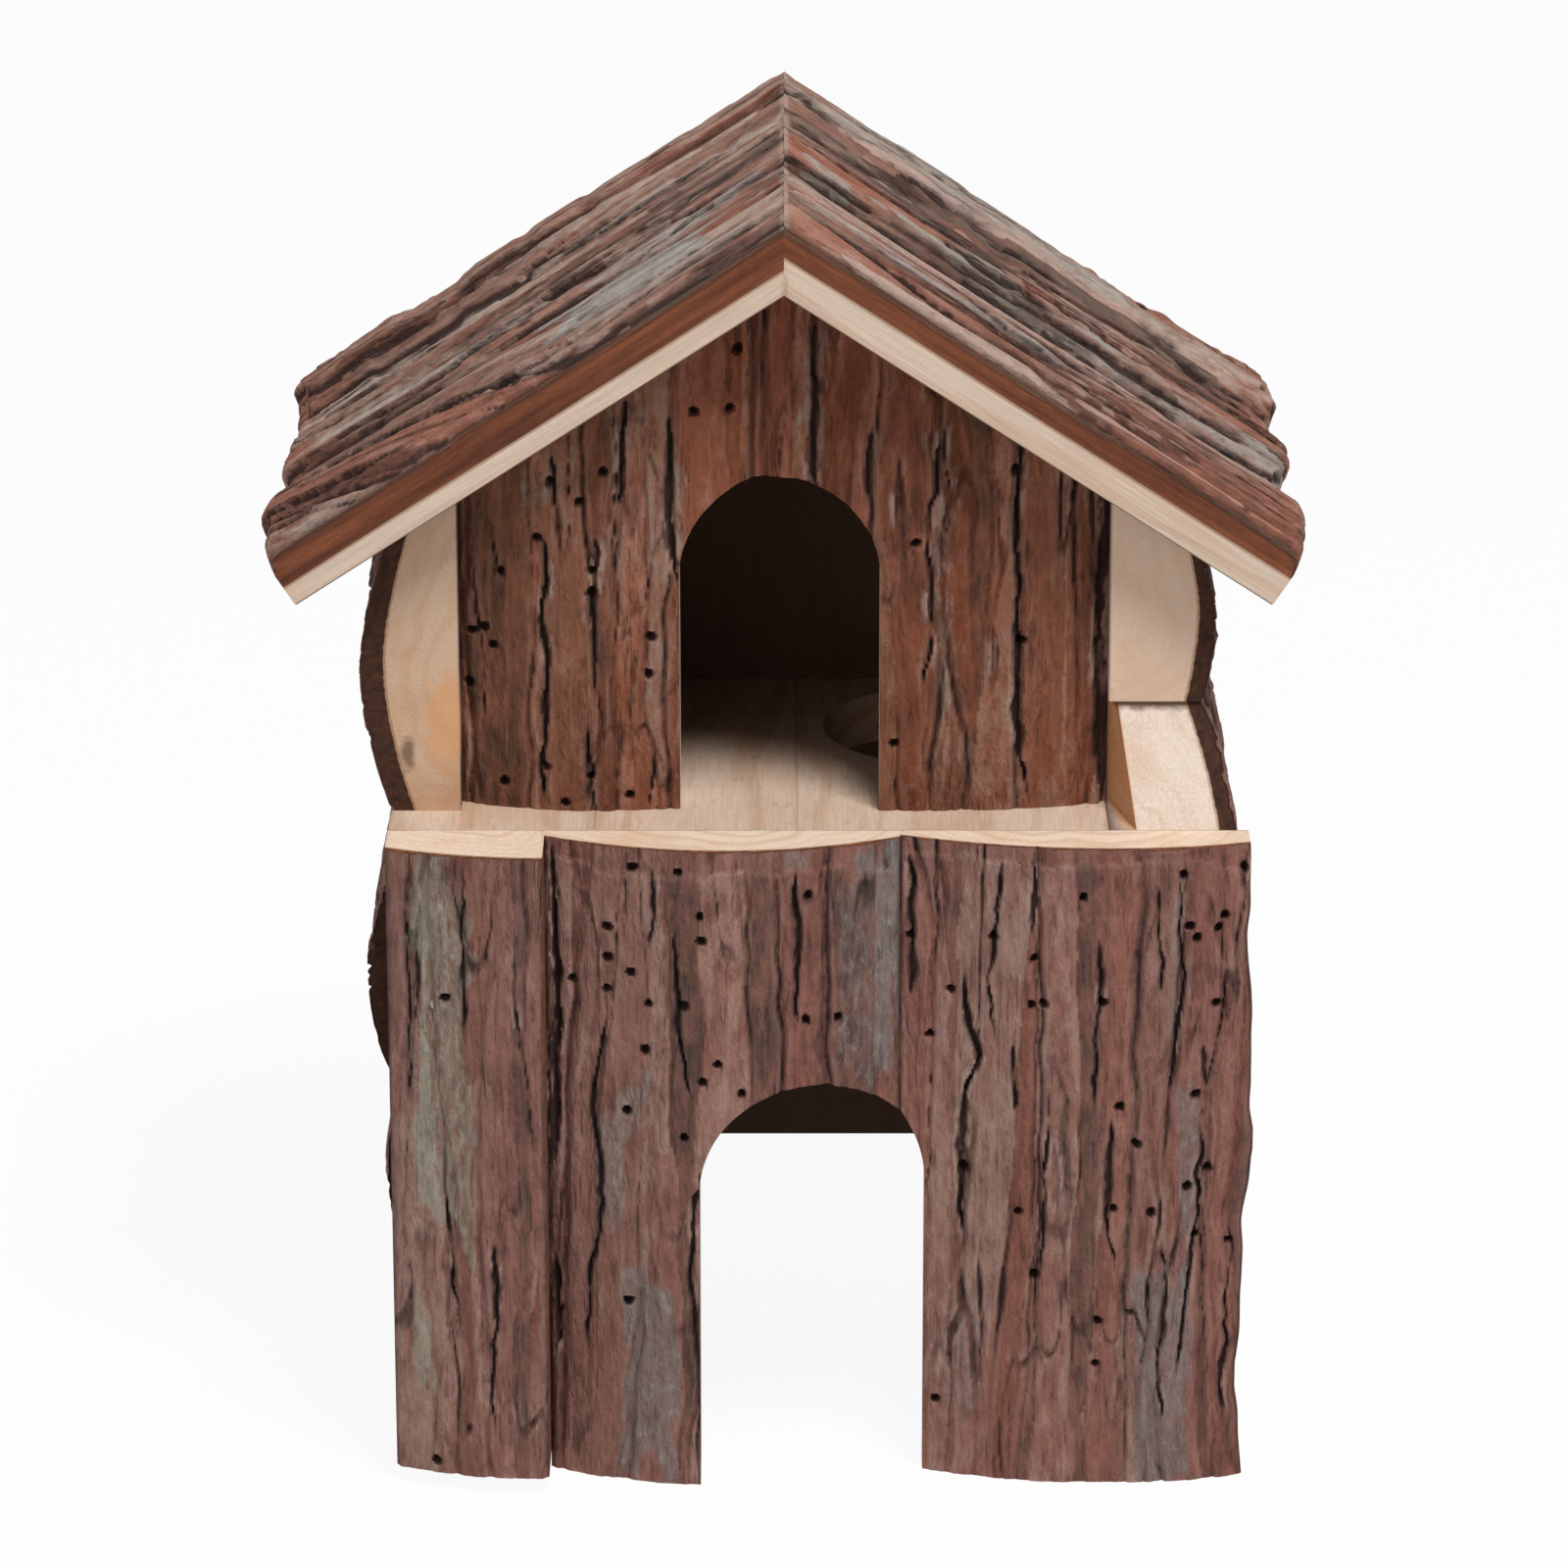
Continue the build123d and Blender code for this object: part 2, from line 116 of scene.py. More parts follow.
class Pattern:
    """Repeatable random fields over a plane, all drawn from one seed."""

    def __init__(self, seed: int) -> None:
        """Keeps the seed."""
        self.seed = seed

    def dice(self, i: Field, j: Field, salt: int) -> Field:
        """A fixed random number from 0 to 1 at each lattice point.

        Args:
            i: Lattice columns.
            j: Lattice rows.
            salt: Tells one field of numbers from the next.

        Returns:
            The numbers.
        """
        mixed = i.astype(np.int64) * HASH_COLUMN + j.astype(np.int64) * HASH_ROW
        mixed = (mixed + (self.seed * HASH_SEED + salt) * HASH_SALT) & HASH_BITS
        mixed = ((mixed ^ (mixed >> 13)) * HASH_MIX) & HASH_BITS
        mixed = ((mixed ^ (mixed >> 15)) * HASH_ROW) & HASH_BITS
        return ((mixed ^ (mixed >> 16)) & DICE_BITS) / DICE_BITS

    def cloud(self, x: Field, y: Field, salt: int, octaves: int = 1) -> Field:
        """Smooth noise, about -1 to 1, with features one unit wide and finer ones on them.

        Args:
            x: Places across.
            y: Places along.
            salt: Tells one field from the next.
            octaves: Layers, each twice as fine and half as strong as the last.

        Returns:
            The noise.
        """
        total = np.zeros_like(x)
        for k in range(octaves):
            fx, fy = x * 2**k + 17.3 * k, y * 2**k + 9.1 * k
            i, j = np.floor(fx), np.floor(fy)
            u, v = eased(fx - i), eased(fy - j)
            low = self.dice(i, j, salt + k) * (1 - u) + self.dice(i + 1, j, salt + k) * u
            high = self.dice(i, j + 1, salt + k) * (1 - u) + self.dice(i + 1, j + 1, salt + k) * u
            total += (2 * (low * (1 - v) + high * v) - 1) / 2**k
        return total

    def plates(self, x: Field, y: Field, size: Point, salt: int) -> Plates:
        """Irregular cells of about the given size.

        Args:
            x: Places across.
            y: Places along.
            size: Cell width and length.
            salt: Tells one field from the next.

        Returns:
            Each place's cell, with distances in the unit of the size.
        """
        u, v = x / size[0], y / size[1]
        i, j = np.floor(u), np.floor(v)
        near = [(i + m, j + n) for m in (-1, 0, 1) for n in (-1, 0, 1)]
        du = np.stack([c + CELL_MARGIN + CELL_FREE * self.dice(c, r, salt) - u for c, r in near])
        dv = np.stack([r + CELL_MARGIN + CELL_FREE * self.dice(c, r, salt + 1) - v for c, r in near])
        square = du**2 + dv**2
        first = square.argmin(0)[None]
        nu, nv, nearest = (np.take_along_axis(values, first, 0) for values in (du, dv, square))
        border = (square - nearest) / (2 * np.hypot((du - nu) / size[0], (dv - nv) / size[1]) + TINY)
        np.put_along_axis(border, first, np.inf, 0)
        column, row = (np.take_along_axis(np.stack(values), first, 0)[0] for values in zip(*near))
        return Plates(border.min(0), -nu[0], column, row)


@dataclass(frozen=True)
class Noise:
    """A kind of unevenness: its size across and along in millimetres, salt, octaves and strength."""

    across: float
    along: float
    salt: int
    octaves: int = 1
    strength: float = 1.0

    def over(self, draw: Pattern, a: Field, b: Field) -> Field:
        """The noise, about as far to each side of 0 as it is strong, at places on a face."""
        return self.strength * draw.cloud(a / self.across, b / self.along, self.salt, self.octaves)


class Cut:
    """Something sawn out of a log's face, in its own (across, along) millimetres."""

    def room(self, a: Field, b: Field) -> Field:
        """Distance to the saw line, above 0 where wood stays."""
        raise NotImplementedError

    def columns(self) -> tuple[float, ...]:
        """Places across where the saw line runs along the grain."""
        return ()


@dataclass(frozen=True)
class Archway(Cut):
    """A doorway open at the foot, with a half-round head."""

    middle: float
    half: float
    spring: float

    def room(self, a: Field, b: Field) -> Field:
        """Distance to the doorway's outline."""
        return np.hypot(a - self.middle, np.maximum(b - self.spring, 0.0)) - self.half

    def columns(self) -> tuple[float, ...]:
        """The two jambs."""
        return (self.middle - self.half, self.middle + self.half)


@dataclass(frozen=True)
class Slant(Cut):
    """A straight saw cut through a point; the wood lies on the side away from the normal."""

    point: Point
    normal: Point

    def room(self, a: Field, b: Field) -> Field:
        """Distance to the line."""
        size = math.hypot(*self.normal)
        return ((self.point[0] - a) * self.normal[0] + (self.point[1] - b) * self.normal[1]) / size


@dataclass(frozen=True)
class RoundHole(Cut):
    """A round hole."""

    middle: Point
    radius: float

    def room(self, a: Field, b: Field) -> Field:
        """Distance to the rim."""
        return np.hypot(a - self.middle[0], b - self.middle[1]) - self.radius


# Distances in millimetres within which a point lies on a saw line, and over which its slope is measured,
# and how often points are moved towards the line.
ON_LINE, PROBE, SNAP_ROUNDS = 1e-6, 1e-4, 8


class TrimmedGrid:
    """A grid over a log's face whose borders follow the saw cuts exactly."""

    def __init__(self, columns: Field, rows: Field, cuts: Sequence[Cut]) -> None:
        """Lays the grid and trims it.

        Args:
            columns: Places across, first to last.
            rows: Places along, first to last.
            cuts: What is sawn out.
        """
        for place in (c for cut in cuts for c in cut.columns() if columns[0] < c < columns[-1]):
            columns[1 + np.abs(columns[1:-1] - place).argmin()] = place
        self.a, self.b = np.meshgrid(columns, rows, indexing="ij")
        self.cuts = cuts
        state = self.snap()
        index = np.arange(self.a.size).reshape(self.a.shape)
        around = [index[:-1, :-1], index[1:, :-1], index[1:, 1:], index[:-1, 1:]]
        cells = np.stack(around, -1).reshape(-1, 4)
        states = state.ravel()[cells]
        middle = self.room(self.a.ravel()[cells].mean(1), self.b.ravel()[cells].mean(1))
        quads = cells[(states >= 0).all(1) & (middle > 0)]
        lone = ((states < 0).sum(1) == 1) & ((states > 0).sum(1) == 1)
        gone = states[lone].argmin(1)
        turned = (gone[:, None] + np.arange(1, 4)) % 4
        corners = np.take_along_axis(cells[lone], turned, 1)
        self.faces = [tuple(f) for f in quads.tolist()] + [tuple(f) for f in corners.tolist()]
        self.loops = self.border()

    def room(self, a: Field, b: Field) -> Field:
        """Distance to the nearest cut."""
        rooms = [cut.room(a, b) for cut in self.cuts]
        return np.minimum.reduce(rooms) if rooms else np.full_like(a, 1.0)

    def snap(self) -> Field:
        """Moves the points beside a saw line onto it.

        Returns:
            1 where wood stays, 0 on a saw line and -1 where it is cut away.
        """
        room = self.room(self.a, self.b)
        snapped = np.abs(room) < ON_LINE
        for axis in (0, 1):
            ahead, behind = [slice(None)] * 2, [slice(None)] * 2
            ahead[axis], behind[axis] = slice(1, None), slice(None, -1)
            one, two = room[tuple(behind)], room[tuple(ahead)]
            crosses = one * two < 0
            first = np.abs(one) <= np.abs(two)
            snapped[tuple(behind)] |= crosses & first
            snapped[tuple(ahead)] |= crosses & ~first
        free_a, free_b = np.ones_like(room), np.ones_like(room)
        free_a[[0, -1], :] = 0.0
        free_b[:, [0, -1]] = 0.0
        for _ in range(SNAP_ROUNDS):
            slope_a = free_a * (self.room(self.a + PROBE, self.b) - self.room(self.a - PROBE, self.b))
            slope_b = free_b * (self.room(self.a, self.b + PROBE) - self.room(self.a, self.b - PROBE))
            slope_a, slope_b = slope_a / (2 * PROBE), slope_b / (2 * PROBE)
            step = np.where(snapped, self.room(self.a, self.b) / (slope_a**2 + slope_b**2 + TINY), 0.0)
            step = np.clip(step, -1.0, 1.0)
            self.a -= step * slope_a
            self.b -= step * slope_b
        return np.where(snapped, 0, np.sign(room)).astype(int)

    def border(self) -> list[list[int]]:
        """Follows the faces' outer sides.

        Returns:
            Rings of points round the faces, with the wood on their left.
        """
        ahead = {}
        sides = {(f[k - 1], f[k]) for f in self.faces for k in range(len(f))}
        for p, q in sides:
            if (q, p) not in sides:
                ahead[p] = q
        loops = []
        while ahead:
            start = min(ahead)
            loop = [start]
            while (after := ahead.pop(loop[-1], start)) != start:
                loop.append(after)
            loops.append(loop)
        return loops


@dataclass(frozen=True)
class Section:
    """Heights of a half-log's arched bark face over its flat back, in millimetres."""

    near: float
    crown: float
    far: float

    def height(self, share: Field) -> Field:
        """Height at a share of the width; so flat an arc is drawn as a parabola."""
        low = self.near * (1 - share) * (1 - 2 * share)
        return low + 4 * self.crown * share * (1 - share) + self.far * share * (2 * share - 1)


# Half width in millimetres under which a crack is too fine for the mesh, the part of a split's width that
# gapes, and the reach in millimetres over which lichen thins out across and along.
FINEST_CRACK = 0.32
SPLIT_GAPE = 0.43
LICHEN_FADE = (1.6, 6.0)


def crack_line(gap: Field, half: Field) -> Field:
    """1 within half a crack's width of its middle and 0 outside; one too fine for the mesh fades."""
    outside = eased(1.4 * gap / np.maximum(half, FINEST_CRACK) - 0.4)
    return np.clip(half / FINEST_CRACK, 0, 1) * (1 - outside)


@dataclass(frozen=True)
class Split:
    """A deep fissure in the bark along points (across, along), in millimetres."""

    path: tuple[Point, ...]
    width: float = 1.3
    depth: float = 1.7

    def cleft(self, a: Field, b: Field, ragged: Field) -> Field:
        """How far each place lies in the split, which tapers out at both ends.

        Args:
            a: Places across.
            b: Places along.
            ragged: Local factor on the width.

        Returns:
            1 in the split's middle, 0 outside it.
        """
        runs = np.cumsum([0.0] + [math.dist(p, q) for p, q in zip(self.path, self.path[1:])])
        nearest, share = np.full_like(a, np.inf), np.zeros_like(a)
        for (p, q), run in zip(zip(self.path, self.path[1:]), runs):
            long_a, long_b = q[0] - p[0], q[1] - p[1]
            size = math.hypot(long_a, long_b)
            at = np.clip(((a - p[0]) * long_a + (b - p[1]) * long_b) / size**2, 0.0, 1.0)
            gap = np.hypot(a - p[0] - at * long_a, b - p[1] - at * long_b)
            share = np.where(gap < nearest, (run + at * size) / runs[-1], share)
            nearest = np.minimum(nearest, gap)
        taper = eased(4 * np.minimum(share, 1 - share) + 0.1)
        return crack_line(nearest, SPLIT_GAPE * self.width * taper * ragged)


@dataclass(frozen=True)
class Lichen:
    """A patch of lichen between two corners (across, along); hue goes from grey-green to bluish grey."""

    low: Point
    high: Point
    hue: float = 0.0
    cover: float = 1.0

    def mask(self, a: Field, b: Field, ragged: Field) -> Field:
        """How thickly the patch covers each place.

        Args:
            a: Places across.
            b: Places along.
            ragged: Noise that frays the patch's outline, in millimetres.

        Returns:
            Cover from 0 to 1.
        """
        side = np.minimum(a - self.low[0], self.high[0] - a) + ragged
        end = np.minimum(b - self.low[1], self.high[1] - b) + 4 * ragged
        return self.cover * eased(side / LICHEN_FADE[0] + 0.5) * eased(end / LICHEN_FADE[1] + 0.5)


@dataclass(frozen=True)
class Growth:
    """What one log carries: splits, lichen, beetle holes at (across, along) and a peeled top edge."""

    splits: tuple[Split, ...] = ()
    lichens: tuple[Lichen, ...] = ()
    holes: tuple[Point, ...] = ()
    peel: float = 0.0


@dataclass(frozen=True)
class Layer:
    """A layer of overlapping bark plates: size, level, unevenness, edge drop and width in millimetres."""

    size: Point
    base: float
    lift: float
    drop: float
    bevel: float


@dataclass(frozen=True)
class Groove:
    """Long grooves that wander along the grain: spacing each way, width and depth in millimetres."""

    spacing: Point
    width: float
    depth: float


@dataclass(frozen=True)
class BarkForm:
    """How a log's bark has grown, with lengths in millimetres.

    Attributes:
        layers: The plates, whichever stands highest showing.
        grooves: Grooves torn through the plates.
        wander: How far the grain strays sideways.
        ripple: How far its edges waver over a short way.
        torn: How ragged the plates' ends are.
        stretch: How much longer than on a panel the unevenness runs.
        chip: Size of the small scales on the plates.
        chip_lift: How far the scales stand up or down.
        lumps: Height of broad lumps.
        fibre: Height of the fibres.
        hollow: Depth at which a hollow is painted black as shade.
        gulf: Depth under the strips beside it at which a gap is painted black as shade, or 0 where gaps
            are shallow.
        line: How dark the joints between plates look.
        shade: How dark the painted shade on the plates' steep torn sides is.
        calm: How much of the relief is worn off along the sawn edges.
        loose_holes: Beetle holes besides those placed by hand.
    """

    layers: tuple[Layer, ...]
    grooves: tuple[Groove, ...] = ()
    wander: float = 2.2
    ripple: float = 0.7
    torn: float = 2.4
    stretch: float = 1.0
    chip: Point = (3.2, 17.0)
    chip_lift: float = 0.13
    lumps: float = 0.0
    fibre: float = 0.08
    hollow: float = 0.9
    gulf: float = 0.0
    line: float = 0.5
    shade: float = 0.5
    calm: float = 0.3
    loose_holes: int = 0


@dataclass
class Bark:
    """The bark's relief in millimetres, and the marks that colour it, at each place of a face."""

    height: Field
    painted_shade_and_joints: Field
    ridge: Field
    tone: Field
    cast: Field
    lichen: Field
    hue: Field
    hole: Field

    @classmethod
    def bare(cls, like: Field) -> "Bark":
        """No relief and no marks, on a grid like the given one."""
        return cls(*(np.zeros_like(like) for _ in fields(cls)))


# Unevenness of the bark's grain and plates, with strengths in millimetres where they bend a line.
WANDER, RIPPLE, TORN_ENDS = Noise(28, 60, 1, 2), Noise(5, 10, 4, 2), Noise(2.4, 40, 6, 2)
CHIP_ENDS, LUMPY = Noise(1.5, 6, 150, 2, 3.0), Noise(5, 5, 170, 2, 3.0)
FIBRES, SWELL = Noise(0.9, 16, 70, 2), Noise(3.5, 14, 75, 2, 0.25)
# Of cracks: factors on their width, how they sway, and where a groove gapes.
RAGGED_FINE, RAGGED_BROAD = Noise(1.5, 5, 80, 3, 0.6), Noise(6, 23, 83, 1, 0.5)
SWAY_FINE, SWAY_BROAD = Noise(3, 4, 86, 2, 0.4), Noise(12, 19, 85, 4, 0.8)
GROOVE_SALT, GAPE = 120, Noise(11, 34, 130, 2)
# Of the bark's borders: peeled top, sawn rim, worn end at the ridge, natural edge and patches of lichen.
PEEL_LINE, RIM_LINE, WORN_END = Noise(7, 7, 88, 3, 1.6), Noise(3, 8, 90, 1, 0.5), Noise(2, 1, 140, 1, 0.5)
WANE_LINE, LICHEN_LINE = Noise(23, 1, 190, 3, 0.7), Noise(4, 13, 95, 3, 1.6)
# Of the marks on it: streaks, joints, rims of beetle holes and torn lips of splits.
STREAKS, JOINTS = Noise(1.4, 30, 97, 2, 0.1), Noise(9, 26, 145, 2)
BENT_ACROSS, BENT_ALONG = Noise(1.2, 1.2, 98, 1, 0.2), Noise(1.2, 1.2, 99, 1, 0.2)
LIP_FIBRES, LIP_PLACES = Noise(1.1, 6, 155, 3, 5.0), Noise(9, 16, 158)
# Of a floor board, left by the saw.
SAW_RIPPLE = Noise(9, 2.2, 3, 2)

# Salts of the plates, of what is drawn for each, and of the scales and lumps.
PLATE_SALT, PLATE_DRAWS, CHIP_SALT, LUMP_SALT = 10, (50, 51, 52, 53), 160, 175

# Lengths are in millimetres.
# Grain of a skewed log: where it starts to turn aside, as a share of the length.
SKEW_FROM = 0.35
# Plates: least factor on an edge's bevel, what is drawn besides, and how they tilt.
BEVEL_LEAST, BEVEL_DRAWN, TILT = 0.6, 0.8, 0.9
# At an eave: how far plates are torn back, the lowest layer more than the others, and how deep that goes.
EAVE_TEAR, EAVE_FRAY, EAVE_DROP, EAVE_BEVEL = 7.0, 3.5, 1.2, 0.7
# How far the fresh bark reaches there, how fresh it is, and the tone that it is drawn to.
FRESH_REACH, FRESH_RUN, FRESH, FRESH_TONE = 18.0, 10.0, 0.8, 0.45
# Scales and lumps: width of their edges, a scale's toning, and a lump's size and middle level.
CHIP_BEVEL, CHIP_TONING = 0.5, 0.12
LUMP_SIZE, LUMP_BEVEL, LUMP_LEVEL = (15.0, 17.0), 3.0, 0.6
# Sawn edges: where relief is worn off, and how deep splits go and how far in they get there.
CALM_FROM, CALM_RUN, FOOT_MARGIN = 1.0, 3.0, 0.6
EDGE_DEPTH, EDGE_RUN = 2.6, 3.5
# Rim of the bark along the long sawn sides: its width, how far it drops and how dark its painted shade is.
RIM_WIDTH, RIM_DROP, RIM_DARK = 1.1, 0.8, 0.45
# Factor on a crack's width: its mean and its limits.
RAGGED_MEAN, RAGGED_LIMITS = 0.85, (0.35, 1.6)
# Grooves: reach as a share of their spacing, and how wide they gape on the whole and at most.
GROOVE_REACH, GAPE_MEAN, GAPE_MOST = 0.55, 0.5, 1.3
# Peeled top edge: its bevel and depth, the tone that it is drawn to and how much.
PEEL_BEVEL, PEEL_DEPTH, PEEL_TONE, PEEL_TONING = 0.6, 0.45, 0.55, 0.7
# Lichen: how much grows on any plate, how much more on pale ones, and the tone from which one is pale.
LICHEN_LEAST, LICHEN_MORE, PALE_PLATE = 0.55, 0.45, 0.35
# Beetle holes: radius, depth, least factor on the radius, what is drawn besides, and their walls.
HOLE_RADIUS, HOLE_DEPTH, HOLE_LEAST, HOLE_DRAWN = 0.95, 2.2, 0.85, 0.3
HOLE_WALL, HOLE_RUN, HOLE_SALT = 0.65, 0.5, 99
# Cells of the mesh over which hollows, splits, gulfs, lips and ridges are judged.
HOLLOW_CELLS, SPLIT_CELLS, GULF_CELLS, LIP_CELLS, RIDGE_CELLS = 4, 2, 3, 3, 2
# Painted shade: black of hollows, splits and what lies beside them, of steep sides and gulfs; and the dark
# of joints.
HOLLOW_POWER, SPLIT_DARK, BESIDE_DARK, BESIDE_GAIN = 1.2, 0.8, 0.5, 1.5
CLIFF_FROM, CLIFF_RUN, GULF_FROM, GULF_RUN = 0.6, 1.4, 0.45, 0.25
JOINT_MEAN, JOINT_LEAST = 0.55, 0.15
# How pale torn lips of splits and worn ends at the ridge are, and the height at which raised relief takes
# the full painted highlight.
LIP_PALE, END_PALE, RIDGE_HEIGHT = 2.6, 3.5, 0.35
# Strip of bark over a nail: its half width, half length and thickness.
NAIL_COVER = (1.3, 7.0, 0.4)
# Broken edges of the sawn back, the thinnest that a log gets, and the run of the mitre.
CHAMFER, THINNEST, MITRE_RUN = 0.35, 0.7, 45.0
NOWHERE = -99.0


class BarkFace:
    """The bark of one log, grown over a grid of places: plates first, then what tears and marks them."""

    def __init__(self, log: "HalfLog", a: Field, b: Field) -> None:
        """Bends the grid with the grain and grows the bark on it.

        Args:
            log: The log, with its bark's form and what it carries.
            a: Places across, as a grid.
            b: Places along, as a grid.
        """
        self.log, self.form, self.draw = log, log.form, Pattern(log.seed)
        self.a, self.b, self.run = a, b, b / log.form.stretch
        self.edge = np.minimum(a, log.width - a)
        self.x = a - log.skew * np.maximum(b - SKEW_FROM * log.length, 0)
        bends = ((self.form.wander, WANDER), (self.form.ripple, RIPPLE))
        self.x += sum(far * noise.over(self.draw, a, self.run) for far, noise in bends)
        self.y = b + self.form.torn * TORN_ENDS.over(self.draw, a, self.run)
        self.height = np.full_like(a, NOWHERE)
        self.tone, self.cast, self.joint, self.opened = (np.zeros_like(a) for _ in range(4))
        self.lay_plates()
        self.roughen()
        self.tear()
        self.trim()

    def lay_plates(self) -> None:
        """Lays the plates, whichever stands highest showing; at an eave their ends are torn and fresh."""
        log, draw = self.log, self.draw
        for number, layer in enumerate(self.form.layers):
            salt = 100 * number
            cells = draw.plates(self.x, self.y, layer.size, salt + PLATE_SALT)
            drawn = (draw.dice(cells.column, cells.row, salt + k) for k in PLATE_DRAWS)
            level, tilt, shade, colour = drawn
            bevel = layer.bevel * (BEVEL_LEAST + BEVEL_DRAWN * colour)
            fall = (1 - np.clip(cells.edge / bevel, 0, 1)) ** 2
            level = layer.base + layer.lift * (2 * level - 1 + TILT * cells.offset * (2 * tilt - 1))
            level -= layer.drop * fall
            if log.eave_round:
                stop = log.length - EAVE_TEAR * shade * (number == 0) - EAVE_FRAY * tilt
                level -= (EAVE_DROP + layer.lift) * eased((self.y - stop) / EAVE_BEVEL)
            upper = level > self.height
            self.height = np.where(upper, level, self.height)
            self.tone = np.where(upper, shade, self.tone)
            self.cast = np.where(upper, colour, self.cast)
            self.joint = np.where(upper, fall, self.joint)
        if log.eave_round:
            fresh = FRESH * eased((self.y - log.length + FRESH_REACH) / FRESH_RUN)
            self.cast += fresh * (1 - self.cast)
            self.tone += 0.5 * fresh * (FRESH_TONE - self.tone)

    def roughen(self) -> None:
        """Adds swells, fibres and small scales, worn down along the sawn edges."""
        a, b, x, run, form, draw = self.a, self.b, self.x, self.run, self.form, self.draw
        self.height += form.layers[0].lift * SWELL.over(draw, a, run)
        self.height += form.fibre * FIBRES.over(draw, x, run)
        chips = draw.plates(x, b + CHIP_ENDS.over(draw, a, b), form.chip, CHIP_SALT)
        chip = 2 * draw.dice(chips.column, chips.row, CHIP_SALT + 5) - 1
        self.height += form.chip_lift * chip * eased(chips.edge / CHIP_BEVEL)
        self.tone = self.tone + CHIP_TONING * chip
        sawn = np.minimum(self.edge, b + FOOT_MARGIN)
        self.height *= 1 - form.calm * (1 - eased((sawn - CALM_FROM) / CALM_RUN))

    def tear(self) -> None:
        """Opens grooves and splits, and peels the top edge."""
        a, b, x, run, draw, growth = self.a, self.b, self.x, self.run, self.draw, self.log.growth
        ragged = RAGGED_MEAN + RAGGED_FINE.over(draw, a, run) + RAGGED_BROAD.over(draw, a, run)
        ragged = np.clip(ragged, *RAGGED_LIMITS)
        sway = a + SWAY_BROAD.over(draw, a, run) + SWAY_FINE.over(draw, a, run)
        for number, groove in enumerate(self.form.grooves):
            salt = 20 * number
            line = Noise(*groove.spacing, GROOVE_SALT + salt, 3).over(draw, x, b)
            gape = replace(GAPE, salt=GAPE.salt + salt).over(draw, x, run)
            gap = np.abs(line) * GROOVE_REACH * groove.spacing[0]
            gape = np.clip(GAPE_MEAN + gape, 0.0, GAPE_MOST)
            cleft = crack_line(gap, 0.5 * groove.width * gape * ragged)
            self.height -= groove.depth * cleft
            self.opened = np.maximum(self.opened, cleft * min(1.0, groove.depth))
        for split in growth.splits:
            cleft = split.cleft(sway, b, ragged)
            self.height -= split.depth * cleft
            self.opened = np.maximum(self.opened, cleft)
        if growth.peel:
            line = self.log.length - growth.peel + PEEL_LINE.over(draw, a, b)
            peeled = eased((b - line) / PEEL_BEVEL)
            self.height -= PEEL_DEPTH * peeled
            self.tone += peeled * (PEEL_TONE - self.tone) * PEEL_TONING

    def trim(self) -> None:
        """Keeps the nails covered and the sawn edges whole, and breaks the bark's rim."""
        self.height = np.maximum(self.height, self.log.over_nails(self.a, self.b))
        self.height = np.maximum(self.height, -EDGE_DEPTH * eased(self.edge / EDGE_RUN))
        wide = RIM_WIDTH + RIM_LINE.over(self.draw, self.a, self.run)
        self.rim = 1 - eased(self.edge / wide)
        self.height -= RIM_DROP * self.rim

    def lichen(self) -> tuple[Field, Field]:
        """Grows the lichen, thinner on dark plates.

        Returns:
            Its cover and its hue.
        """
        cover, hue = np.zeros_like(self.a), np.zeros_like(self.a)
        ragged = LICHEN_LINE.over(self.draw, self.a, self.b)
        for patch in self.log.growth.lichens:
            grown = LICHEN_LEAST + LICHEN_MORE * (self.tone > PALE_PLATE)
            more = patch.mask(self.x, self.b, ragged) * grown
            hue = np.where(more > cover, patch.hue, hue)
            cover = np.maximum(cover, more)
        return cover, hue

    def holes(self) -> Field:
        """Bores the beetle holes, which differ a little in size and have uneven rims.

        Returns:
            1 in the holes, 0 outside them.
        """
        a = self.a + BENT_ACROSS.over(self.draw, self.a, self.b)
        b = self.b + BENT_ALONG.over(self.draw, self.a, self.b)
        hole = np.zeros_like(a)
        for number, (at_a, at_b) in enumerate(self.log.holes()):
            drawn = self.draw.dice(np.array([number, number]), np.array([7, 8]), HOLE_SALT)
            wide, tall = HOLE_LEAST + HOLE_DRAWN * drawn
            reach = np.hypot((a - at_a) / wide, (b - at_b) / tall) / HOLE_RADIUS
            hole = np.maximum(hole, 1 - eased((reach - HOLE_WALL) / HOLE_RUN))
        return hole

    def paint_shade_and_joints(self) -> Field:
        """Paints shade into hollows and splits, the rim, gaps and plates' torn sides, and darkens their
        joints.

        Returns:
            How black each place is.
        """
        height, form = self.height, self.form
        hollow = np.maximum(softened(height, HOLLOW_CELLS) - height, 0)
        hollow = (hollow / form.hollow) ** HOLLOW_POWER
        painted_shade_and_joints = np.maximum(hollow, SPLIT_DARK * self.opened + RIM_DARK * self.rim)
        beside = np.minimum(BESIDE_DARK, BESIDE_GAIN * softened(self.opened, SPLIT_CELLS))
        painted_shade_and_joints = np.maximum(painted_shade_and_joints, beside)
        cliff = np.abs(np.gradient(height, axis=0) / np.gradient(self.a, axis=0))
        painted_shade_and_joints = np.maximum(painted_shade_and_joints, form.shade * eased((cliff - CLIFF_FROM) / CLIFF_RUN))
        if form.gulf:
            below = highest(height, GULF_CELLS) - height
            painted_shade_and_joints = np.maximum(painted_shade_and_joints, eased((below / form.gulf - GULF_FROM) / GULF_RUN))
        dim = np.clip(JOINT_MEAN + JOINTS.over(self.draw, self.x, self.run), JOINT_LEAST, 1)
        return np.clip(np.maximum(painted_shade_and_joints, self.joint * (form.line * dim)), 0, 1)

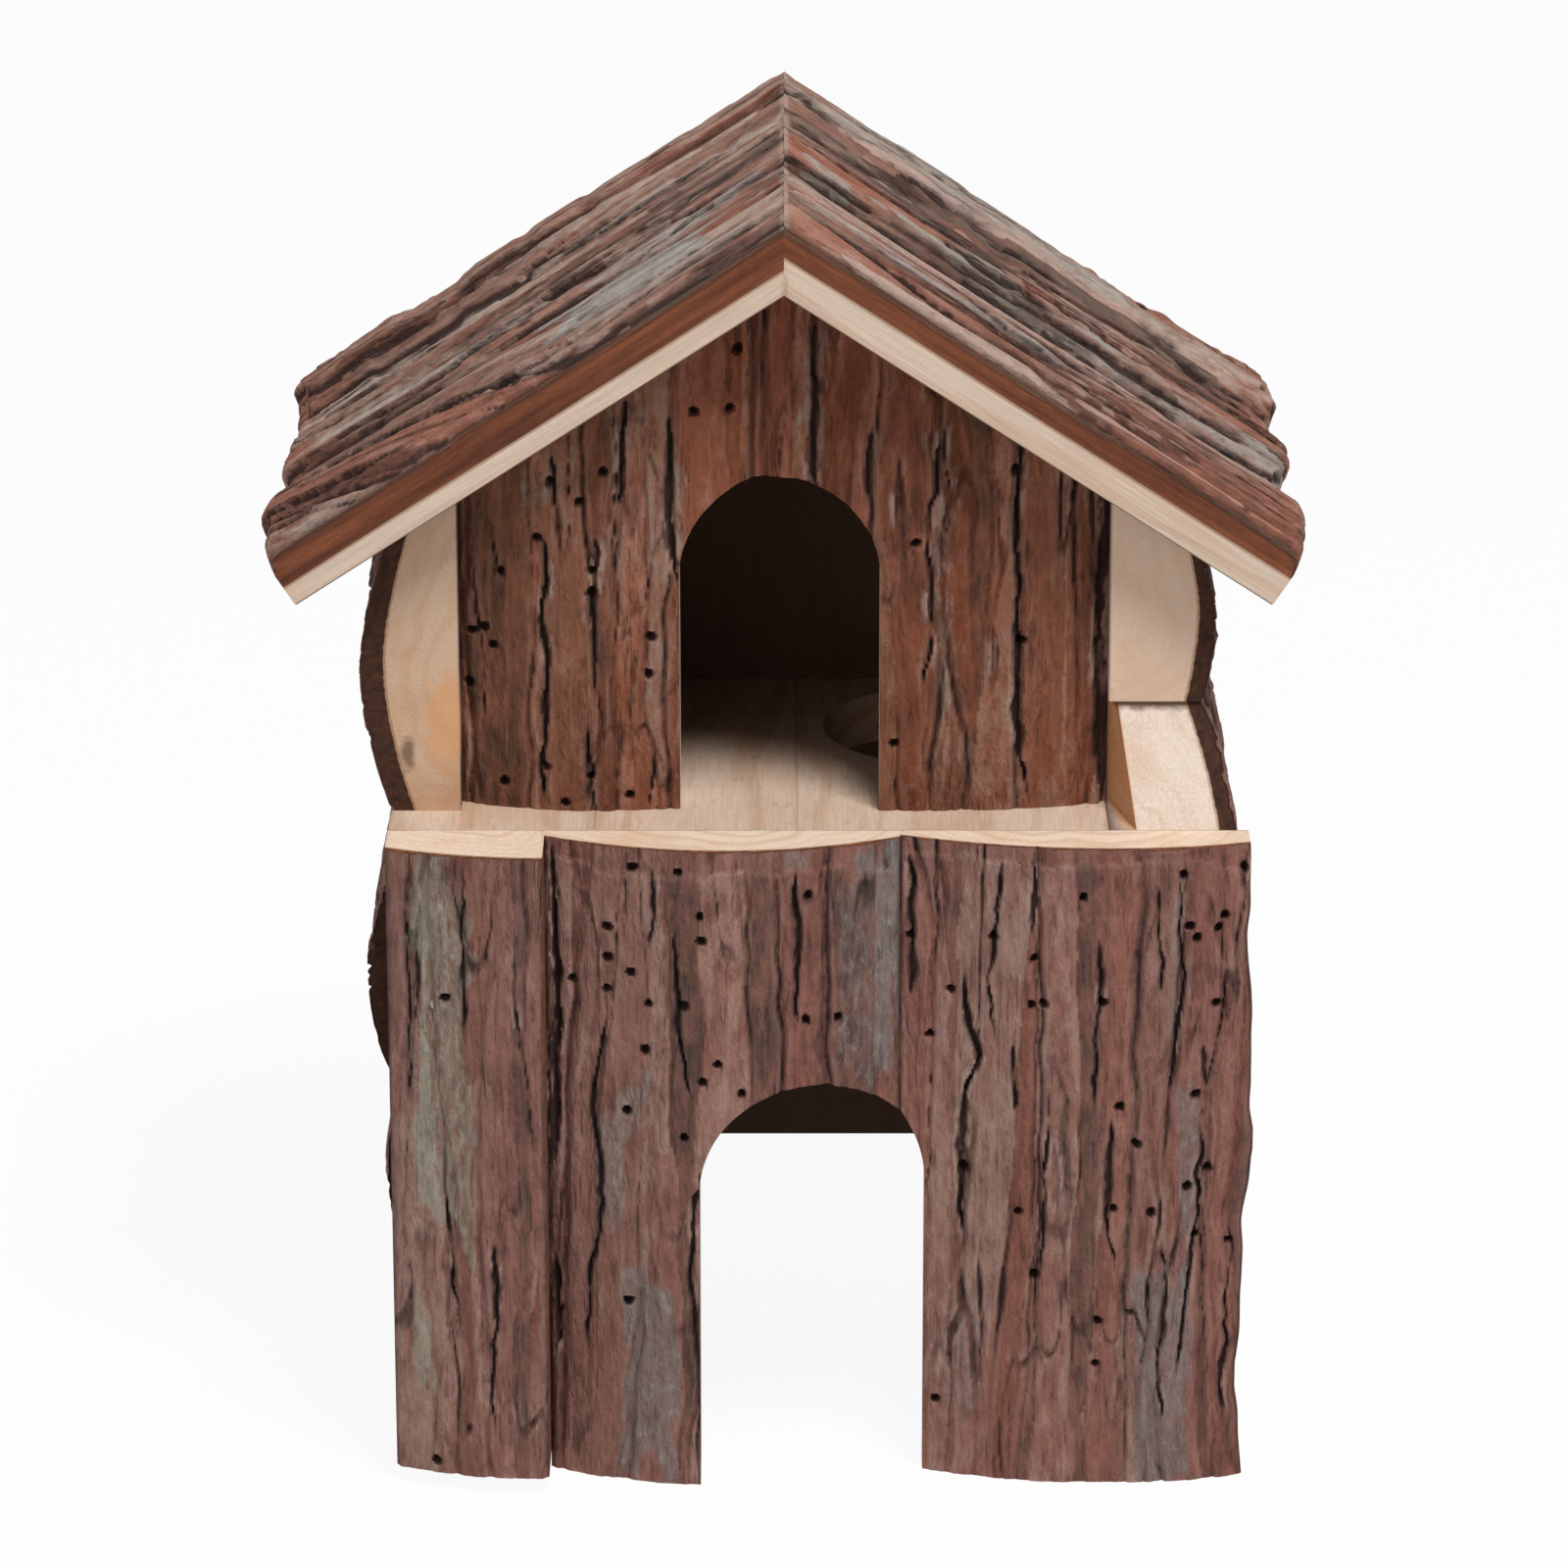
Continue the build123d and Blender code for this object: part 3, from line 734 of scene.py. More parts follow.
    def finished(self) -> Bark:
        """Adds the marks, and the broad lumps that take no part in them.

        Returns:
            The bark's relief, with the marks that colour it.
        """
        a, b, form, draw = self.a, self.b, self.form, self.draw
        cover, hue = self.lichen()
        hole, painted_shade_and_joints = self.holes(), self.paint_shade_and_joints()
        lip = np.clip(5 * softened(self.opened, LIP_CELLS) - 3 * self.opened, 0, 1)
        torn = np.clip(LIP_FIBRES.over(draw, a, b) - 0.4, 0, 1)
        lip *= torn * eased(LIP_PLACES.over(draw, a, b) + 0.6)
        painted_shade_and_joints *= 1 - 0.9 * lip
        # Raised relief is painted pale as a highlight; torn lips of splits and worn ends are really pale.
        raised = self.height - softened(self.height, RIDGE_CELLS)
        ridge = np.clip(raised / RIDGE_HEIGHT, 0, 1) * (1 - painted_shade_and_joints)
        ridge = np.maximum(ridge, LIP_PALE * lip)
        if self.log.end_lean:
            worn = eased((b - 0.5) / (0.8 + WORN_END.over(draw, a, b)))
            ridge = np.maximum(ridge, END_PALE * (1 - worn))
        tone = np.clip(self.tone + STREAKS.over(draw, self.x, b), 0, 1)
        if form.lumps:
            lumps = draw.plates(a + LUMPY.over(draw, a, b), b, LUMP_SIZE, LUMP_SALT)
            rise = draw.dice(lumps.column, lumps.row, LUMP_SALT + 3) - LUMP_LEVEL
            self.height += form.lumps * rise * eased(lumps.edge / LUMP_BEVEL)
        return Bark(self.height - HOLE_DEPTH * hole, painted_shade_and_joints, ridge, tone, self.cast, cover, hue, hole)


def node_box(node: str) -> tuple[Vector, Vector]:
    """A node's lowest and highest corner, in millimetres."""
    low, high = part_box(node)
    return low / MM, high / MM


X_AXIS, Y_AXIS, Z_AXIS = Vector((1, 0, 0)), Vector((0, 1, 0)), Vector((0, 0, 1))
# Across, along and outward, for logs that stand with their bark to the front or the rear.
TO_FRONT, TO_REAR = (X_AXIS, Z_AXIS, -Y_AXIS), (X_AXIS, Z_AXIS, Y_AXIS)


@dataclass
class HalfLog:
    """One sawn half-log with its bark, laid along its own across, along and outward axes.

    Attributes:
        node: The CAD node that it stands for.
        section: Its arched face.
        width: Size across, in millimetres like all lengths here.
        length: Size along the grain.
        corner: Where the back's first corner lies in the frame.
        across: Direction across the grain.
        along: Direction along the grain.
        outward: Direction from the back to the bark.
        form: How its bark has grown.
        seed: Tells its patterns from the other logs'.
        rind: Thickness of the bark.
        side_rind: How deep the bark wraps round its sides.
        step: Spacing of the mesh across and along.
        cuts: What is sawn out of it.
        growth: What its bark carries.
        edge_lean: How far the far side leans for each millimetre of height.
        end_lean: How far the mitred end leans for each millimetre of height.
        eave_round: Radius of the rounded end at an eave.
        skew: How far the grain turns aside for each millimetre along.
        wane: How far the far side's natural edge cuts in.
        nails: Points of the nails under its bark, in the frame.
        back: Height of the back at each place where it isn't flat.
        extra_columns: Places across that need a line of the mesh.
    """

    node: str
    section: Section
    width: float
    length: float
    corner: Vector
    across: Vector
    along: Vector
    outward: Vector
    form: BarkForm
    seed: int
    rind: float = 1.4
    side_rind: float = 0.0
    step: Point = (0.5, 0.6)
    cuts: tuple[Cut, ...] = ()
    growth: Growth = Growth()
    edge_lean: float = 0.0
    end_lean: float = 0.0
    eave_round: float = 0.0
    skew: float = 0.0
    wane: float = 0.0
    nails: Field | None = None
    back: Callable[[Field, Field], Field] | None = None
    extra_columns: tuple[float, ...] = ()

    @classmethod
    def at_node(
        cls, node: str, section: Section, axes: tuple[Vector, Vector, Vector], **traits: object
    ) -> "HalfLog":
        """Makes a log that fills its node's box, its back on the side away from the bark.

        Args:
            node: The CAD node.
            section: The arched face.
            axes: Directions across, along and outward.
            **traits: The log's other fields.

        Returns:
            The log.
        """
        low, high = node_box(node)
        across, along, outward = axes
        corner = Vector([far if way < 0 else near for near, far, way in zip(low, high, outward)])
        width, length = (
            sum((far - near) * way for near, far, way in zip(low, high, axis)) for axis in (across, along)
        )
        return cls(node, section, width, length, corner, across, along, outward, **traits)

    def over_nails(self, a: Field, b: Field) -> Field:
        """Keeps a strip of bark over each punched nail.

        Args:
            a: Places across.
            b: Places along.

        Returns:
            Least heights over the section's arch, far below it away from the nails.
        """
        least = np.full_like(a, NOWHERE)
        if self.nails is not None:
            wide, long, thick = NAIL_COVER
            axes = np.array([self.across, self.along, self.outward])
            local = (self.nails - np.array(self.corner)) @ axes.T
            for at_a, at_b, top in local[np.abs(local[:, 0] - self.width / 2) < self.width / 2]:
                away = np.hypot((a - at_a) / wide, (b - at_b) / long)
                arch = self.section.height(np.clip(a / self.width, 0, 1))
                least = np.maximum(least, np.where(away < 1, top + thick - arch, NOWHERE))
        return least

    def holes(self) -> list[Point]:
        """The beetle holes listed for the log, and the loose ones that the bark's form asks for."""
        loose = np.random.default_rng(self.seed).random((self.form.loose_holes, 2))
        return [*self.growth.holes, *((u * self.width, v * self.length) for u, v in loose.tolist())]

    def placed(self, a: Field, b: Field, t: Field) -> Field:
        """Points in the frame, in metres, with the slanted edge and the mitred end leaning as sawn.

        Args:
            a: Places across.
            b: Places along.
            t: Heights over the flat back.

        Returns:
            Rows of x, y and z.
        """
        if self.wane:
            notch = 0.5 + WANE_LINE.over(Pattern(self.seed), b, np.zeros_like(b))
            a = a - self.wane * np.clip(notch, 0, 1) * eased(4 * a / self.width - 3)
        a = a - self.edge_lean * t * eased(1.25 * a / self.width - 0.25)
        b = b - self.end_lean * t * (1 - eased(b / MITRE_RUN))
        axes = np.array([self.across, self.along, self.outward])
        return (np.array(self.corner) + np.stack([a, b, t], -1) @ axes) * MM

    def build(self) -> bpy.types.Object:
        """Makes the closed mesh: bark face, sawn edges and sawn back.

        Returns:
            The log.
        """
        columns, rows = self.lines()
        for place in self.extra_columns:
            columns[np.abs(columns - place).argmin()] = place
        grid = TrimmedGrid(columns, rows, self.cuts)
        bark = BarkFace(self, grid.a, grid.b).finished()
        arch = self.section.height(np.clip(grid.a / self.width, 0, 1))
        past = np.clip(grid.b - self.length + self.eave_round, 0, self.eave_round)
        worn = self.eave_round - np.sqrt(self.eave_round**2 - past**2)
        mesh = SlabMesh(self, grid, arch)
        mesh.add_face(np.maximum(arch - worn + bark.height, THINNEST), bark)
        return mesh.finished()

    def lines(self) -> tuple[Field, Field]:
        """Evenly spaced places across and along for the mesh."""
        sizes = zip((self.width, self.length), self.step)
        return tuple(np.linspace(0, size, round(size / step) + 1) for size, step in sizes)


# Closeness in millimetres that counts as touching, and depths in millimetres that mark sawn edges as cut
# bark and backs as wood. How far apart the logs' patterns lie along the grain, the pith's depth as a share
# of the width, and the angle from which an edge looks sharp.
TOUCH, UNDER_SKIN, DEEP = 0.01, 0.5, 9.0
GRAIN_STRIDE, PITH_DEPTH = 211.0, 0.35
SHARP = math.radians(40)


class SlabMesh:
    """Gathers the points, faces and marks of one slab, and turns them into an object."""

    # Of these marks: the shade-and-joint mark carries painted shade, the back mark painted shade on the
    # backs, and the ridge mark a painted highlight along with real pale lips and worn ends.
    marks = ("painted_shade_and_joints", "ridge", "tone", "cast", "lichen", "hue", "hole", "end", "back", "stain")

    def __init__(self, log: HalfLog, grid: TrimmedGrid, arch: Field) -> None:
        """Starts an empty mesh.

        Args:
            log: The slab.
            grid: Its trimmed face.
            arch: Heights of the face before its bark's relief.
        """
        self.log, self.grid, self.arch = log, grid, arch
        self.points: list[Field] = []
        self.values: dict[str, list[Field]] = {name: [] for name in (*self.marks, "skin", "heart")}
        self.faces: list[tuple[int, ...]] = []
        self.smooth = 0
        self.count = 0
        used = sorted({p for f in grid.faces for p in f})
        self.used = np.array(used)
        self.place = {p: k for k, p in enumerate(used)}

    def add_points(
        self, a: Field, b: Field, t: Field, skin: Field, heart: Field, marks: dict[str, Field]
    ) -> int:
        """Adds points with their marks.

        Args:
            a: Places across.
            b: Places along.
            t: Heights over the back.
            skin: Depths under the bark's surface.
            heart: Depths inside the wood, below 0 in the bark.
            marks: Values of the other marks; one that is missing is 0.

        Returns:
            The first point's number.
        """
        self.points.append(np.stack([a, b, t], -1))
        for name in self.values:
            self.values[name].append(marks.get(name, np.zeros_like(a)))
        self.values["skin"][-1] = skin
        self.values["heart"][-1] = heart
        self.count += len(a)
        return self.count - len(a)

    def add_face(self, top: Field, bark: Bark) -> None:
        """Adds the outer face and its edges, and a back of its own where the back isn't flat.

        Args:
            top: Heights of the outer face, on the grid.
            bark: Its marks.
        """
        a, b, t = (v.ravel()[self.used] for v in (self.grid.a, self.grid.b, top))
        marks = {n: getattr(bark, n).ravel()[self.used] for n in self.marks if hasattr(bark, n)}
        self.add_points(a, b, t, np.zeros_like(a), np.full_like(a, -self.log.rind), marks)
        self.faces += [tuple(self.place[p] for p in f) for f in self.grid.faces]
        self.smooth = len(self.faces)
        if self.log.back is not None:
            low = self.log.back(a, b)
            # The flat back is marked for its painted shade, and the flared face for its stain.
            rough = {"back": 1.0 * (low < TOUCH), "stain": 1.0 * (low >= TOUCH)}
            start = self.add_points(a, b, low, t - low, np.full_like(a, DEEP), rough)
            self.faces += [tuple(start + self.place[p] for p in reversed(f)) for f in self.grid.faces]
        for loop in self.grid.loops:
            self.add_edge(loop, top)

    def add_edge(self, loop: list[int], top: Field) -> None:
        """Adds one sawn edge from the outer face down to the back.

        Args:
            loop: Points round the edge, with the wood on their left.
            top: Heights of the outer face, on the grid.
        """
        ring = np.array(loop)
        a, b, t, arch = (v.ravel()[ring] for v in (self.grid.a, self.grid.b, top, self.arch))
        ahead_a, ahead_b = np.roll(a, -1) - np.roll(a, 1), np.roll(b, -1) - np.roll(b, 1)
        size = np.hypot(ahead_a, ahead_b) + TINY
        next_a, next_b = np.roll(a, -1) - a, np.roll(b, -1) - b
        lead = np.abs(next_a) / (np.hypot(next_a, next_b) + TINY)
        marks = {"end": np.maximum(lead, np.roll(lead, 1)) ** 6}
        side = np.minimum(a, self.log.width - a) < TOUCH
        wrapped = self.log.side_rind * side * (marks["end"] < 0.5)
        low = self.log.back(a, b) if self.log.back else np.zeros_like(a)
        rows = [[self.place[p] for p in loop]]
        lip = t - 0.05 * (t - low)
        seam = np.clip(arch - self.log.rind, low + 2 * CHAMFER, t - 0.1 * (t - low))
        for level in (lip, seam, low + CHAMFER):
            heart = arch - level - self.log.rind - wrapped
            start = self.add_points(a, b, level, t - level + UNDER_SKIN, heart, marks)
            rows.append(list(range(start, start + len(loop))))
        if self.log.back is None:
            inset = 0.0 if self.log.cuts else CHAMFER
            a, b = a - inset * ahead_b / size, b + inset * ahead_a / size
            start = self.add_points(a, b, low, t, np.full_like(a, DEEP), {"back": np.ones_like(a)})
            rows.append(list(range(start, start + len(loop))))
            if self.log.cuts:
                for p, q, r in tessellate_polygon([[Vector((u, v, 0.0)) for u, v in zip(a, b)]]):
                    turned = (a[q] - a[p]) * (b[r] - b[p]) > (a[r] - a[p]) * (b[q] - b[p])
                    self.faces.append(tuple(start + k for k in ((p, r, q) if turned else (p, q, r))))
            else:
                self.faces.append(tuple(reversed(rows[-1])))
        else:
            rows.append([len(self.used) + self.place[p] for p in loop])
        for upper, lower in zip(rows, rows[1:]):
            for k in range(len(loop)):
                self.faces.append((upper[k], upper[k - 1], lower[k - 1], lower[k]))

    def finished(self) -> bpy.types.Object:
        """Turns what was gathered into an object in the scene.

        Returns:
            The object.
        """
        log = self.log
        points = np.concatenate(self.points)
        faces = self.faces
        if log.across.cross(log.along).dot(log.outward) < 0:
            faces = [tuple(reversed(f)) for f in faces]
        mesh = bpy.data.meshes.new(f"{log.node}_log")
        mesh.from_pydata(log.placed(*points.T).tolist(), [], faces)
        mesh.polygons.foreach_set("use_smooth", [k < self.smooth for k in range(len(faces))])
        grain = points - np.array([log.width / 2, -GRAIN_STRIDE * log.seed, -PITH_DEPTH * log.width])
        store = mesh.attributes.new("grain", "FLOAT_VECTOR", "POINT")
        store.data.foreach_set("vector", grain.astype(np.float32).ravel())
        for name, rows in self.values.items():
            store = mesh.attributes.new(name, "FLOAT", "POINT")
            store.data.foreach_set("value", np.concatenate(rows).astype(np.float32))
        mesh.update()
        mesh.set_sharp_from_angle(angle=SHARP)
        piece = bpy.data.objects.new(mesh.name, mesh)
        bpy.context.scene.collection.objects.link(piece)
        return piece


def feed(tree: Tree, node: bpy.types.Node, inputs: dict) -> None:
    """Sets a node's inputs, or links the sockets given for them.

    Args:
        tree: The material's nodes.
        node: The node.
        inputs: Values or sockets, by the input's name or number.
    """
    for name, value in inputs.items():
        if isinstance(value, Socket):
            tree.links.new(value, node.inputs[name])
        else:
            node.inputs[name].default_value = value


def add(
    tree: Tree,
    kind: str,
    inputs: dict | None = None,
    out: str | None = None,
    stops: Iterable[tuple[float, Colour]] = (),
    **settings: object,
) -> Socket:
    """Adds a node with its settings, fixed inputs and links.

    Args:
        tree: The material's nodes.
        kind: The node's type without its prefix.
        inputs: Values, or sockets to link, by the input's name or number.
        out: Name of the output to return, or None for the first that is in use.
        stops: Places and colours of a ramp.
        **settings: The node's own settings.

    Returns:
        The output.
    """
    made = tree.nodes.new(f"ShaderNode{kind}")
    for name, value in settings.items():
        setattr(made, name, value)
    feed(tree, made, inputs or {})
    for number, (place, colour) in enumerate(stops):
        elements = made.color_ramp.elements
        stop = elements[number] if number < 2 else elements.new(place)
        stop.position, stop.color = place, colour
    if out is not None:
        return made.outputs[out]
    return next((socket for socket in made.outputs if socket.enabled), None)


# Values between which most of a noise lies, and nearly all of it.
MOST, NEARLY_ALL = (0.3, 0.7), (0.25, 0.75)
# Numbers of a Mix node's inputs for colours and for plain values.
FACTOR, COLOUR_A, COLOUR_B, FLOAT_A, FLOAT_B = 0, 6, 7, 2, 3
Shade = Socket | Colour | str


class Mixer:
    """Adds the nodes of one material, with patterns measured in millimetres across and along the grain."""

    def __init__(self, name: str, grain: str | None) -> None:
        """Starts the material.

        Args:
            name: The material's name.
            grain: Mesh attribute with places in the log, or None for the frame's own axes.
        """
        self.material = bpy.data.materials.new(name)
        self.material.use_nodes = True
        self.tree = self.material.node_tree
        if grain is None:
            metres = add(self.tree, "TexCoord", {}, "Object")
            self.grain = self.vector("SCALE", metres, Scale=1 / MM)
        else:
            self.grain = self.mark(grain, "Vector")

    def mark(self, name: str, out: str = "Fac") -> Socket:
        """The value that the mesh holds under that name."""
        return add(self.tree, "Attribute", {}, out, attribute_name=name)

    def math(self, operation: str, *values: Socket | float) -> Socket:
        """Works out a number from others."""
        return add(self.tree, "Math", dict(enumerate(values)), operation=operation)

    def vector(self, operation: str, *values: Socket | tuple, **inputs: float) -> Socket:
        """Works out a vector from others."""
        return add(self.tree, "VectorMath", dict(enumerate(values)) | inputs, operation=operation)

    def length(self, vector: Socket) -> Socket:
        """A vector's length."""
        return add(self.tree, "VectorMath", {0: vector}, "Value", operation="LENGTH")

    def noise(self, size: Point, detail: float, roughness: float = 0.5) -> Socket:
        """Noise from 0 to 1.

        Args:
            size: Size of its features across and along the grain.
            detail: Finer layers on them.
            roughness: How strong the finer layers are.

        Returns:
            The noise.
        """
        across, along = size
        place = self.vector("MULTIPLY", self.grain, (1 / across, 1 / along, 1 / across))
        inputs = {"Vector": place, "Scale": 1.0, "Detail": detail, "Roughness": roughness}
        return add(self.tree, "TexNoise", inputs, "Fac")

    def remap(self, value: Socket, span: Span, onto: Span = (0.0, 1.0), curve: str = "LINEAR") -> Socket:
        """Turns values within one span into values within another."""
        inputs = dict(enumerate((value, *span, *onto)))
        return add(self.tree, "MapRange", inputs, interpolation_type=curve)

    def blend(self, share: Socket | float, one: Shade, two: Shade, mode: str = "MIX") -> Socket:
        """Mixes two colours, given as sockets, values or hex colours.

        Args:
            share: How much of the second shows.
            one: The first.
            two: The second.
            mode: How the second is laid over the first.

        Returns:
            The colour.
        """
        one, two = (linear(shade) if isinstance(shade, str) else shade for shade in (one, two))
        inputs = {FACTOR: share, COLOUR_A: one, COLOUR_B: two}
        return add(self.tree, "Mix", inputs, data_type="RGBA", blend_type=mode)

    def tint(self, colour: Socket, by: Shade, share: Socket | float = 1.0) -> Socket:
        """Multiplies a colour by another, or by a brightness."""
        return self.blend(share, colour, by, "MULTIPLY")

    def ramp(self, value: Socket, first: float, gap: float, shades: Sequence[str]) -> Socket:
        """Colour ramp of hex colours from the first one's place on, the same gap apart."""
        stops = [(first + gap * k, linear(shade)) for k, shade in enumerate(shades)]
        return add(self.tree, "ValToRGB", {0: value}, "Color", stops)

    def finished(self, relief: Socket | None = None, **inputs: Socket | float) -> bpy.types.Material:
        """Links the look to the shader.

        Args:
            relief: Height of the surface in millimetres, if it has any.
            **inputs: The shader's inputs, with _ for spaces.

        Returns:
            The material.
        """
        named = {name.replace("_", " "): value for name, value in inputs.items()}
        if relief is not None:
            named["Normal"] = add(self.tree, "Bump", {"Height": relief, "Distance": MM, "Strength": 1.0})
        feed(self.tree, self.tree.nodes["Principled BSDF"], named)
        return self.material


@dataclass(frozen=True)
class Softwood:
    """Conifer wood, sawn and left bare.

    The saw leaves it matt and a little furry, cream between the growth rings and tan in them,
    with streaks along the grain and faint ridges across it from the blade. A floor is specked with
    dirt, and painted shade darkens it towards the back of the room.
    """

    cream: str = "#ecdfd2"
    ring: str = "#d9bfa6"
    stain: str = "#dcbda0"
    dirt: float = 0.0
    # Tint of painted shade towards the back of the room; empty for none.
    rear_shade: str = ""
    speck: str = "#8d6a50"
    roughness: float = 0.68
    ring_gap: float = 2.6
    ring_drift: float = 7.0
    drift: Point = (22.0, 130.0)
    fibre: Point = (0.5, 11.0)
    blot: Point = (13.0, 48.0)
    speck_size: Point = (1.6, 3.5)
    late: Span = (0.42, 0.72)
    late_share: Span = (0.0, 0.6)
    blot_edge: Span = (0.5, 0.8)
    blot_share: Span = (0.0, 0.75)
    speck_edge: Span = (0.6, 0.74)
    fibre_light: Span = (0.86, 1.1)
    # Where along Y, in metres, the painted shade at the back sets in and where it is full.
    rear_shade_run: Span = (-0.03, 0.02)
    saw_gap: float = 2.1
    saw_drift: float = 9.0
    saw_depth: float = 0.012
    fibre_depth: float = 0.09
    gloss: float = 0.35

    def weave(self, mixer: Mixer) -> tuple[Socket, Socket]:
        """Adds the wood's nodes.

        Args:
            mixer: The material's nodes.

        Returns:
            Its colour and its relief in millimetres.
        """
        tree = mixer.tree
        radius = mixer.length(mixer.vector("MULTIPLY", mixer.grain, (1, 0, 1)))
        drift = mixer.noise(self.drift, 2.0)
        turns = mixer.math("MULTIPLY", radius, 1 / self.ring_gap)
        turns = mixer.math("MULTIPLY_ADD", drift, self.ring_drift, turns)
        rings = {"W": turns, "Scale": 1.0, "Detail": 1.0}
        rings = add(tree, "TexNoise", rings, "Fac", noise_dimensions="1D")
        late = mixer.remap(rings, self.late, self.late_share, "SMOOTHSTEP")
        fibre = mixer.noise(self.fibre, 3.0)
        blot = mixer.remap(mixer.noise(self.blot, 3.0), self.blot_edge, self.blot_share)
        colour = mixer.blend(late, self.cream, self.ring)
        colour = mixer.blend(blot, colour, self.stain)
        colour = mixer.tint(colour, mixer.remap(fibre, NEARLY_ALL, self.fibre_light))
        if self.dirt:
            speck = mixer.remap(mixer.noise(self.speck_size, 3.0), self.speck_edge, (0.0, self.dirt))
            colour = mixer.blend(speck, colour, self.speck)
        # Painted shade: darker towards the back of the room.
        if self.rear_shade:
            depth = add(tree, "SeparateXYZ", {0: add(tree, "TexCoord", {}, "Object")}, "Y")
            colour = mixer.tint(colour, self.rear_shade, mixer.remap(depth, self.rear_shade_run))
        along = add(tree, "SeparateXYZ", {0: mixer.grain}, "Y")
        stroke = mixer.math("MULTIPLY_ADD", drift, self.saw_drift, along)
        saw = mixer.math("SINE", mixer.math("MULTIPLY", stroke, math.tau / self.saw_gap))
        relief = mixer.math("MULTIPLY", saw, self.saw_depth)
        return colour, mixer.math("MULTIPLY_ADD", fibre, self.fibre_depth, relief)

    def material(self, name: str, grain: str | None) -> bpy.types.Material:
        """Makes the bare wood's material.

        Args:
            name: The material's name.
            grain: Mesh attribute with places in the log, or None for the frame's own axes.

        Returns:
            The material.
        """
        mixer = Mixer(name, grain)
        colour, relief = self.weave(mixer)
        look = {"Base_Color": colour, "Roughness": self.roughness, "Specular_IOR_Level": self.gloss}
        return mixer.finished(relief, **look)


@dataclass(frozen=True)
class TintedSpot:
    """A tinted spot in sawn wood, for knots, stains and painted light and shade: its place and half sizes
    in millimetres, colour and strength.
    """

    place: tuple[float, float, float]
    half: tuple[float, float, float]
    colour: str
    strength: float


